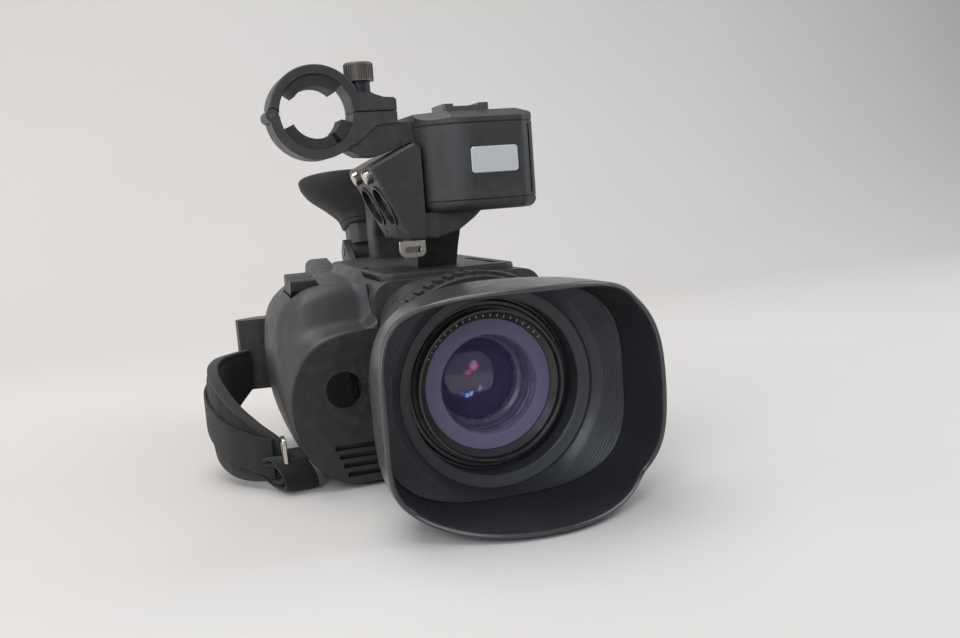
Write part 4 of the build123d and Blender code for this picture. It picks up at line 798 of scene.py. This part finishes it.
# ---------------------------------------------------------------- hand grip shell
G = {
    45.6: [(-30, 22), (-42, 22), (-54.0, 21), (-65.0, 17), (-73.0, 8), (-76.0, -6), (-75.5, -20), (-70.0, -32), (-60.5, -41), (-50.0, -44.3), (-40, -44.8), (-30, -44.8)],
    47.0: [(-30, 23.6), (-42, 23.6), (-54.0, 22.6), (-66.0, 18.3), (-74.6, 8.6), (-77.8, -6), (-77.2, -20.6), (-71.5, -33.2), (-61.5, -42.3), (-50.5, -45.2), (-40, -45.3), (-30, -45.3)],
    52.0: [(-30, 24.5), (-42, 24.4), (-54.6, 23.6), (-66.7, 20.5), (-75.9, 12), (-79.8, -1), (-78.7, -18), (-72.7, -32), (-62.9, -41.8), (-51.2, -45.2), (-40, -45.3), (-30, -45.3)],
    57.5: [(-30, 25.5), (-42, 25.8), (-54.3, 25.6), (-67.0, 24.0), (-76.7, 16), (-80.9, 2), (-79.3, -16), (-73.4, -31), (-63.7, -41.3), (-51.4, -45.2), (-40, -45.3), (-30, -45.3)],
    61.0: [(-30, 29), (-42, 31), (-54.6, 32.0), (-67.3, 29.0), (-77.0, 19), (-81.1, 3.5), (-79.6, -15), (-73.6, -30.5), (-63.8, -41.2), (-51.3, -45.2), (-40, -45.3), (-30, -45.3)],
    64.5: [(-30, 37), (-42, 39.2), (-54.9, 39.4), (-67.6, 35.0), (-77.1, 23), (-81.2, 5.5), (-79.6, -14), (-73.6, -30.2), (-63.8, -41.1), (-51.2, -45.2), (-40, -45.3), (-30, -45.3)],
    74.0: [(-30, 42), (-42, 43.5), (-54.6, 43.5), (-67.3, 40), (-77.2, 29), (-81.0, 8), (-79.5, -13), (-73.6, -30), (-63.7, -41), (-51.0, -45.3), (-40, -45.3), (-30, -45.3)],
    100.0: [(-30, 43), (-42, 45), (-54.4, 45), (-66.8, 42), (-77.0, 31), (-80.5, 9), (-78.7, -13), (-72.5, -30), (-62.4, -41), (-50.9, -45.2), (-40, -45.3), (-30, -45.3)],
    135.0: [(-30, 42), (-42, 44), (-53.5, 43.5), (-64.9, 39), (-74.2, 28), (-77.3, 7), (-75.5, -13), (-69.4, -30), (-59.6, -40.5), (-49.1, -45.0), (-40, -45.3), (-30, -45.3)],
    160.0: [(-30, 39), (-42, 39.6), (-52.2, 38.2), (-61.5, 32.6), (-69.0, 22.3), (-71.8, 4.8), (-70.1, -13), (-64.6, -28.5), (-56.2, -39.0), (-46.9, -44.0), (-39, -45.1), (-30, -45.3)],
    163.6: [(-30, 38), (-42, 38.2), (-51.8, 36.6), (-60.7, 31), (-67.8, 21), (-70.5, 4), (-68.7, -13), (-63.4, -28), (-55.4, -38.5), (-46.5, -43.5), (-39, -45.0), (-30, -45.3)],
    165.0: [(-30, 35.5), (-42, 36), (-50.9, 34.6), (-58.9, 29), (-65.6, 19.5), (-68.2, 4), (-66.5, -12), (-61.6, -26), (-54.1, -36), (-46.1, -41.2), (-39, -43.0), (-30, -43.4)],
}
GY = sorted(G)
NS = 168
rings = [catmull(G[y], NS, True) for y in GY]
ysamp = [45.6, 46.0, 46.6, 47.2, 48.2, 49.5, 51.0, 53.0, 55.0, 57.0, 58.2, 59.2, 60.2, 61.2, 62.2, 63.2, 64.2, 65.2, 66.4, 68.0, 70.0, 73.0]
ysamp += [73.0 + (159.0 - 73.0) * k / 40 for k in range(1, 41)] + [160.5, 161.8, 162.8, 163.6, 164.2, 164.7, 165.0]
verts = []
for y in ysamp:
    for k in range(NS):
        x = pchip(GY, [rings[q][k][0] for q in range(len(GY))], y)
        z = pchip(GY, [rings[q][k][1] for q in range(len(GY))], y)
        verts.append((x, y, max(z, -45.3)))
ny = len(ysamp)
faces = [(i * NS + k, (i + 1) * NS + k, (i + 1) * NS + (k + 1) % NS, i * NS + (k + 1) % NS) for i in range(ny - 1) for k in range(NS)]
faces.append(tuple(range(NS)))
faces.append(tuple((ny - 1) * NS + k for k in reversed(range(NS))))
grip = mesh_obj("grip_shell", verts, faces, M["body_plastic"], 40.0)


def cutter(name, x0, x1, y0, y1, z0, z1, bevel=0.0, segs=4):
    import bmesh
    me = bpy.data.meshes.new(name)
    bm = bmesh.new()
    bmesh.ops.create_cube(bm, size=1.0)
    for v in bm.verts:
        v.co = Vector(W((x0 + x1) / 2 + v.co.x * (x1 - x0), (y0 + y1) / 2 + v.co.y * (y1 - y0), (z0 + z1) / 2 + v.co.z * (z1 - z0)))
    if bevel:
        bmesh.ops.bevel(bm, geom=list(bm.edges), offset=bevel / 1000, segments=segs, profile=0.5, affect="EDGES")
    bmesh.ops.recalc_face_normals(bm, faces=bm.faces)
    bm.to_mesh(me)
    bm.free()
    me.shade_smooth()
    me.set_sharp_from_angle(angle=radians(30))
    o = bpy.data.objects.new(name, me)
    bpy.context.scene.collection.objects.link(o)
    return o


def boolean(o, tool, op="DIFFERENCE", keep=False):
    md = o.modifiers.new("b", "BOOLEAN")
    md.operation = op
    md.object = tool
    md.solver = "EXACT"
    bpy.context.view_layer.objects.active = o
    with bpy.context.temp_override(object=o, active_object=o, selected_objects=[o]):
        bpy.ops.object.modifier_apply(modifier="b")
    if not keep:
        bpy.data.objects.remove(tool, do_unlink=True)
    return o


def cyl_tool(name, r, x, y0, y1, z, n=64):
    verts = []
    for y in (y0, y1):
        for i in range(n):
            a = 2 * pi * i / n
            verts.append((x + r * cos(a), y, z + r * sin(a)))
    f = [(i, (i + 1) % n, n + (i + 1) % n, n + i) for i in range(n)]
    f += [tuple(range(n)), tuple(n + i for i in reversed(range(n)))]
    return mesh_obj(name, verts, f, None)


# rear control hump with its sloped front
hump = cutter("hump", -50, -28, 116, 164, 30, 50.4, 3.0, 5)
for v in hump.data.vertices:
    y = v.co.y * 1000 + 75
    z = v.co.z * 1000 - 47.5
    if z > 34 and y < 130:
        v.co.y -= 0.0
        lim = 50.4 - max(0.0, (127 - y)) * 0.85
        v.co.z = (min(z, max(lim, 34)) + 47.5) / 1000
    x = v.co.x * 1000
    if x < -42 and z > 40:
        v.co.x += 0.0025 * (z - 40) / 10
boolean(grip, hump, "UNION")
boolean(grip, cutter("c1", -36.0, 10, 30, 220, -80, 80))
boolean(grip, cutter("c2", -70, -56, 73.5, 98.5, 33.0, 70, 0.8, 3))
boolean(grip, cyl_tool("c3", 6.35, -55.0, 159.5, 172, 5.0))
boolean(grip, cyl_tool("c5", 9.9, -54.6, 40, 47.2, -1.8))
ov = cyl_tool("c4", 2.4, 0, -6, 6, 0, 48)
for v in ov.data.vertices:
    x, y, z = v.co.x * 1000, v.co.y * 1000 + 75, v.co.z * 1000 - 47.5
    # stand the tool up along Z, stretched to an oval, ahead of the zoom lever
    v.co = Vector(W(-57.5 + x * 2.3, 68.0 + z, 43.2 + y * 0.4))
ov.data.update()
boolean(grip, ov)
grip.data.shade_smooth()
grip.data.set_sharp_from_angle(angle=radians(38))
grip.data.materials.clear()
grip.data.materials.append(M["body_plastic"])
for p in grip.data.polygons:
    p.material_index = 0
replace(grip, "grip_housing")

# ---------------------------------------------------------------- lens collar
CY = [27.0, 28.0, 33.0, 42.0, 49.9]
CA = [44.0, 44.8, 45.6, 42.5, 40.3]
CB = [43.6, 44.2, 44.8, 45.4, 43.6]
CN = [2.0, 2.0, 2.1, 2.8, 4.2]
CX = [0.0, 0.0, 0.4, 3.6, 5.0]
CZ = [0.0, 0.0, 0.0, 0.2, -0.4]
verts = []
NC = 240
for i in range(NC):
    t = 2 * pi * i / NC
    prof = [(36.1, 27.3), (36.6, 27.0)]
    for y in [27.0, 27.3, 27.8, 28.6, 30.0, 31.5, 33.0, 33.7]:
        prof.append((y, 0))
    prof += [(33.75, -0.5), (34.25, -0.5)]
    for y in [34.3, 36.0, 38.0, 40.0, 42.0, 44.0, 46.0, 48.0, 49.2, 49.6, 49.9]:
        prof.append((y, -0.4 if y > 49.8 else 0))
    for q in prof:
        if q[0] > 36.05 and q[1] > 20:
            verts.append((q[0] * cos(t), q[1], q[0] * sin(t)))
            continue
        y, ins = q
        if y == 27.0:
            ins = -0.7
        groove = ins if ins > -0.6 else ins
        r = sup_r(t, pchip(CY, CA, y) + groove, pchip(CY, CB, y) + groove, pchip(CY, CN, y), pchip(CY, CN, y))
        cx0, cz0 = pchip(CY, CX, y), pchip(CY, CZ, y)
        verts.append((cx0 + r * cos(t), y, cz0 + r * sin(t)))
    verts.append((36.1 * cos(t), 49.8, 36.1 * sin(t)))
ncol = len(verts) // NC
collar = mesh_obj("lens_collar_shell", verts, grid_faces(NC, ncol, True, True), M["body_plastic"], 32.0)
# two small raised bars of the position mark on its upper corner
bars = []
for q in (-0.028, 0.028):
    t = radians(132) + q
    b = []
    for yy in (36.8, 40.2):
        for tt in (t - 0.010, t + 0.010):
            for ins in (-0.5, 0.45):
                r = sup_r(tt, pchip(CY, CA, yy) + ins, pchip(CY, CB, yy) + ins, pchip(CY, CN, yy), pchip(CY, CN, yy))
                b.append((pchip(CY, CX, yy) + r * cos(tt), yy, pchip(CY, CZ, yy) + r * sin(tt)))
    f = [(0, 1, 3, 2), (4, 6, 7, 5), (0, 4, 5, 1), (2, 3, 7, 6), (1, 5, 7, 3), (0, 2, 6, 4)]
    bars.append(mesh_obj("bar", b, f, M["body_plastic"], 30.0))
collar = join([collar] + bars, "lens_collar_shell")
replace(collar, "lens_collar")

# ---------------------------------------------------------------- floor, light, camera
def stage_material():
    m, nt, b = nodes_of("studio_paper")
    tc = nt.nodes.new("ShaderNodeTexCoord")
    n = noise(nt, tc, 3.0, 3.0)
    f = ramp(nt, n, "Fac", 0.3, 0.0, 0.7, 1.0)
    c = mixc(nt, f, "Result", (0.600, 0.583, 0.565), (0.615, 0.600, 0.585))
    nt.links.new(c.outputs[2], b.inputs["Base Color"])
    b.inputs["Roughness"].default_value = 0.75
    b.inputs["Specular IOR Level"].default_value = 0.2
    return m


prof = [(-1.6, 0.0)] + [(0.55 + 0.5 * sin(radians(a)), 0.5 - 0.5 * cos(radians(a))) for a in range(0, 91, 6)] + [(1.05, 2.4)]
vs, fs = [], []
for x in (-2.6, 2.6):
    for y, z in prof:
        vs.append((x, y, z))
k = len(prof)
for i in range(k - 1):
    fs.append((i, i + 1, k + i + 1, k + i))
me = bpy.data.meshes.new("backdrop")
me.from_pydata(vs, [], fs)
me.shade_smooth()
bd = bpy.data.objects.new("backdrop", me)
me.materials.append(stage_material())
bpy.context.scene.collection.objects.link(bd)

world = bpy.data.worlds.new("studio")
bpy.context.scene.world = world
world.use_nodes = True
bg = world.node_tree.nodes["Background"]
bg.inputs["Color"].default_value = (0.93, 0.95, 1.0, 1.0)
bg.inputs["Strength"].default_value = 0.42


def area(name, loc, target, size, power, color, size_y=None):
    l = bpy.data.lights.new(name, "AREA")
    l.energy = power
    l.color = color
    l.size = size
    if size_y:
        l.shape = "RECTANGLE"
        l.size_y = size_y
    o = bpy.data.objects.new(name, l)
    bpy.context.scene.collection.objects.link(o)
    o.location = loc
    d = Vector(target) - Vector(loc)
    o.rotation_euler = d.to_track_quat("-Z", "Y").to_euler()
    return o


area("top_soft", (-0.25, 0.15, 1.25), (0, 0.0, 0.05), 1.1, 11.0, (1.0, 0.98, 0.95), 0.9)
area("window_front", (-0.75, -1.05, 0.75), (0, 0, 0.08), 0.55, 7.5, (0.86, 0.92, 1.0), 0.8)
area("side_left", (-1.25, 0.15, 0.5), (0, 0, 0.08), 0.7, 4.2, (1.0, 0.93, 0.86), 0.9)
area("side_right", (1.15, -0.15, 0.75), (0, 0, 0.08), 0.8, 6.8, (0.93, 0.96, 1.0), 0.9)

cam = bpy.data.cameras.new("camera")
cam.sensor_width = 36.0
cam.lens = 37.5
co = bpy.data.objects.new("camera", cam)
bpy.context.scene.collection.objects.link(co)
yaw, pitch, roll = radians(18.5), radians(7.5), radians(4.2)
cyw, syw, cp, sp, cr, sr = cos(yaw), sin(yaw), cos(pitch), sin(pitch), cos(roll), sin(roll)
Rz = np.array([[cyw, -syw, 0], [syw, cyw, 0], [0, 0, 1]])
B = np.array([[1, 0, 0], [0, 0, -1], [0, 1, 0]])
Rx = np.array([[1, 0, 0], [0, cp, -sp], [0, sp, cp]])
Rr = np.array([[cr, sr, 0], [-sr, cr, 0], [0, 0, 1]])
Mx = Rr @ Rx @ B @ Rz
t = np.array([4.7, 28.0, 422.5])
pos = -Mx.T @ t
X, Y, Z = Mx[0], -Mx[1], -Mx[2]
co.matrix_world = Matrix(((X[0], Y[0], Z[0], pos[0] / 1000), (X[1], Y[1], Z[1], (pos[1] - 75) / 1000), (X[2], Y[2], Z[2], (pos[2] + 47.5) / 1000), (0, 0, 0, 1)))
bpy.context.scene.camera = co
bpy.context.scene.view_settings.view_transform = "Standard"
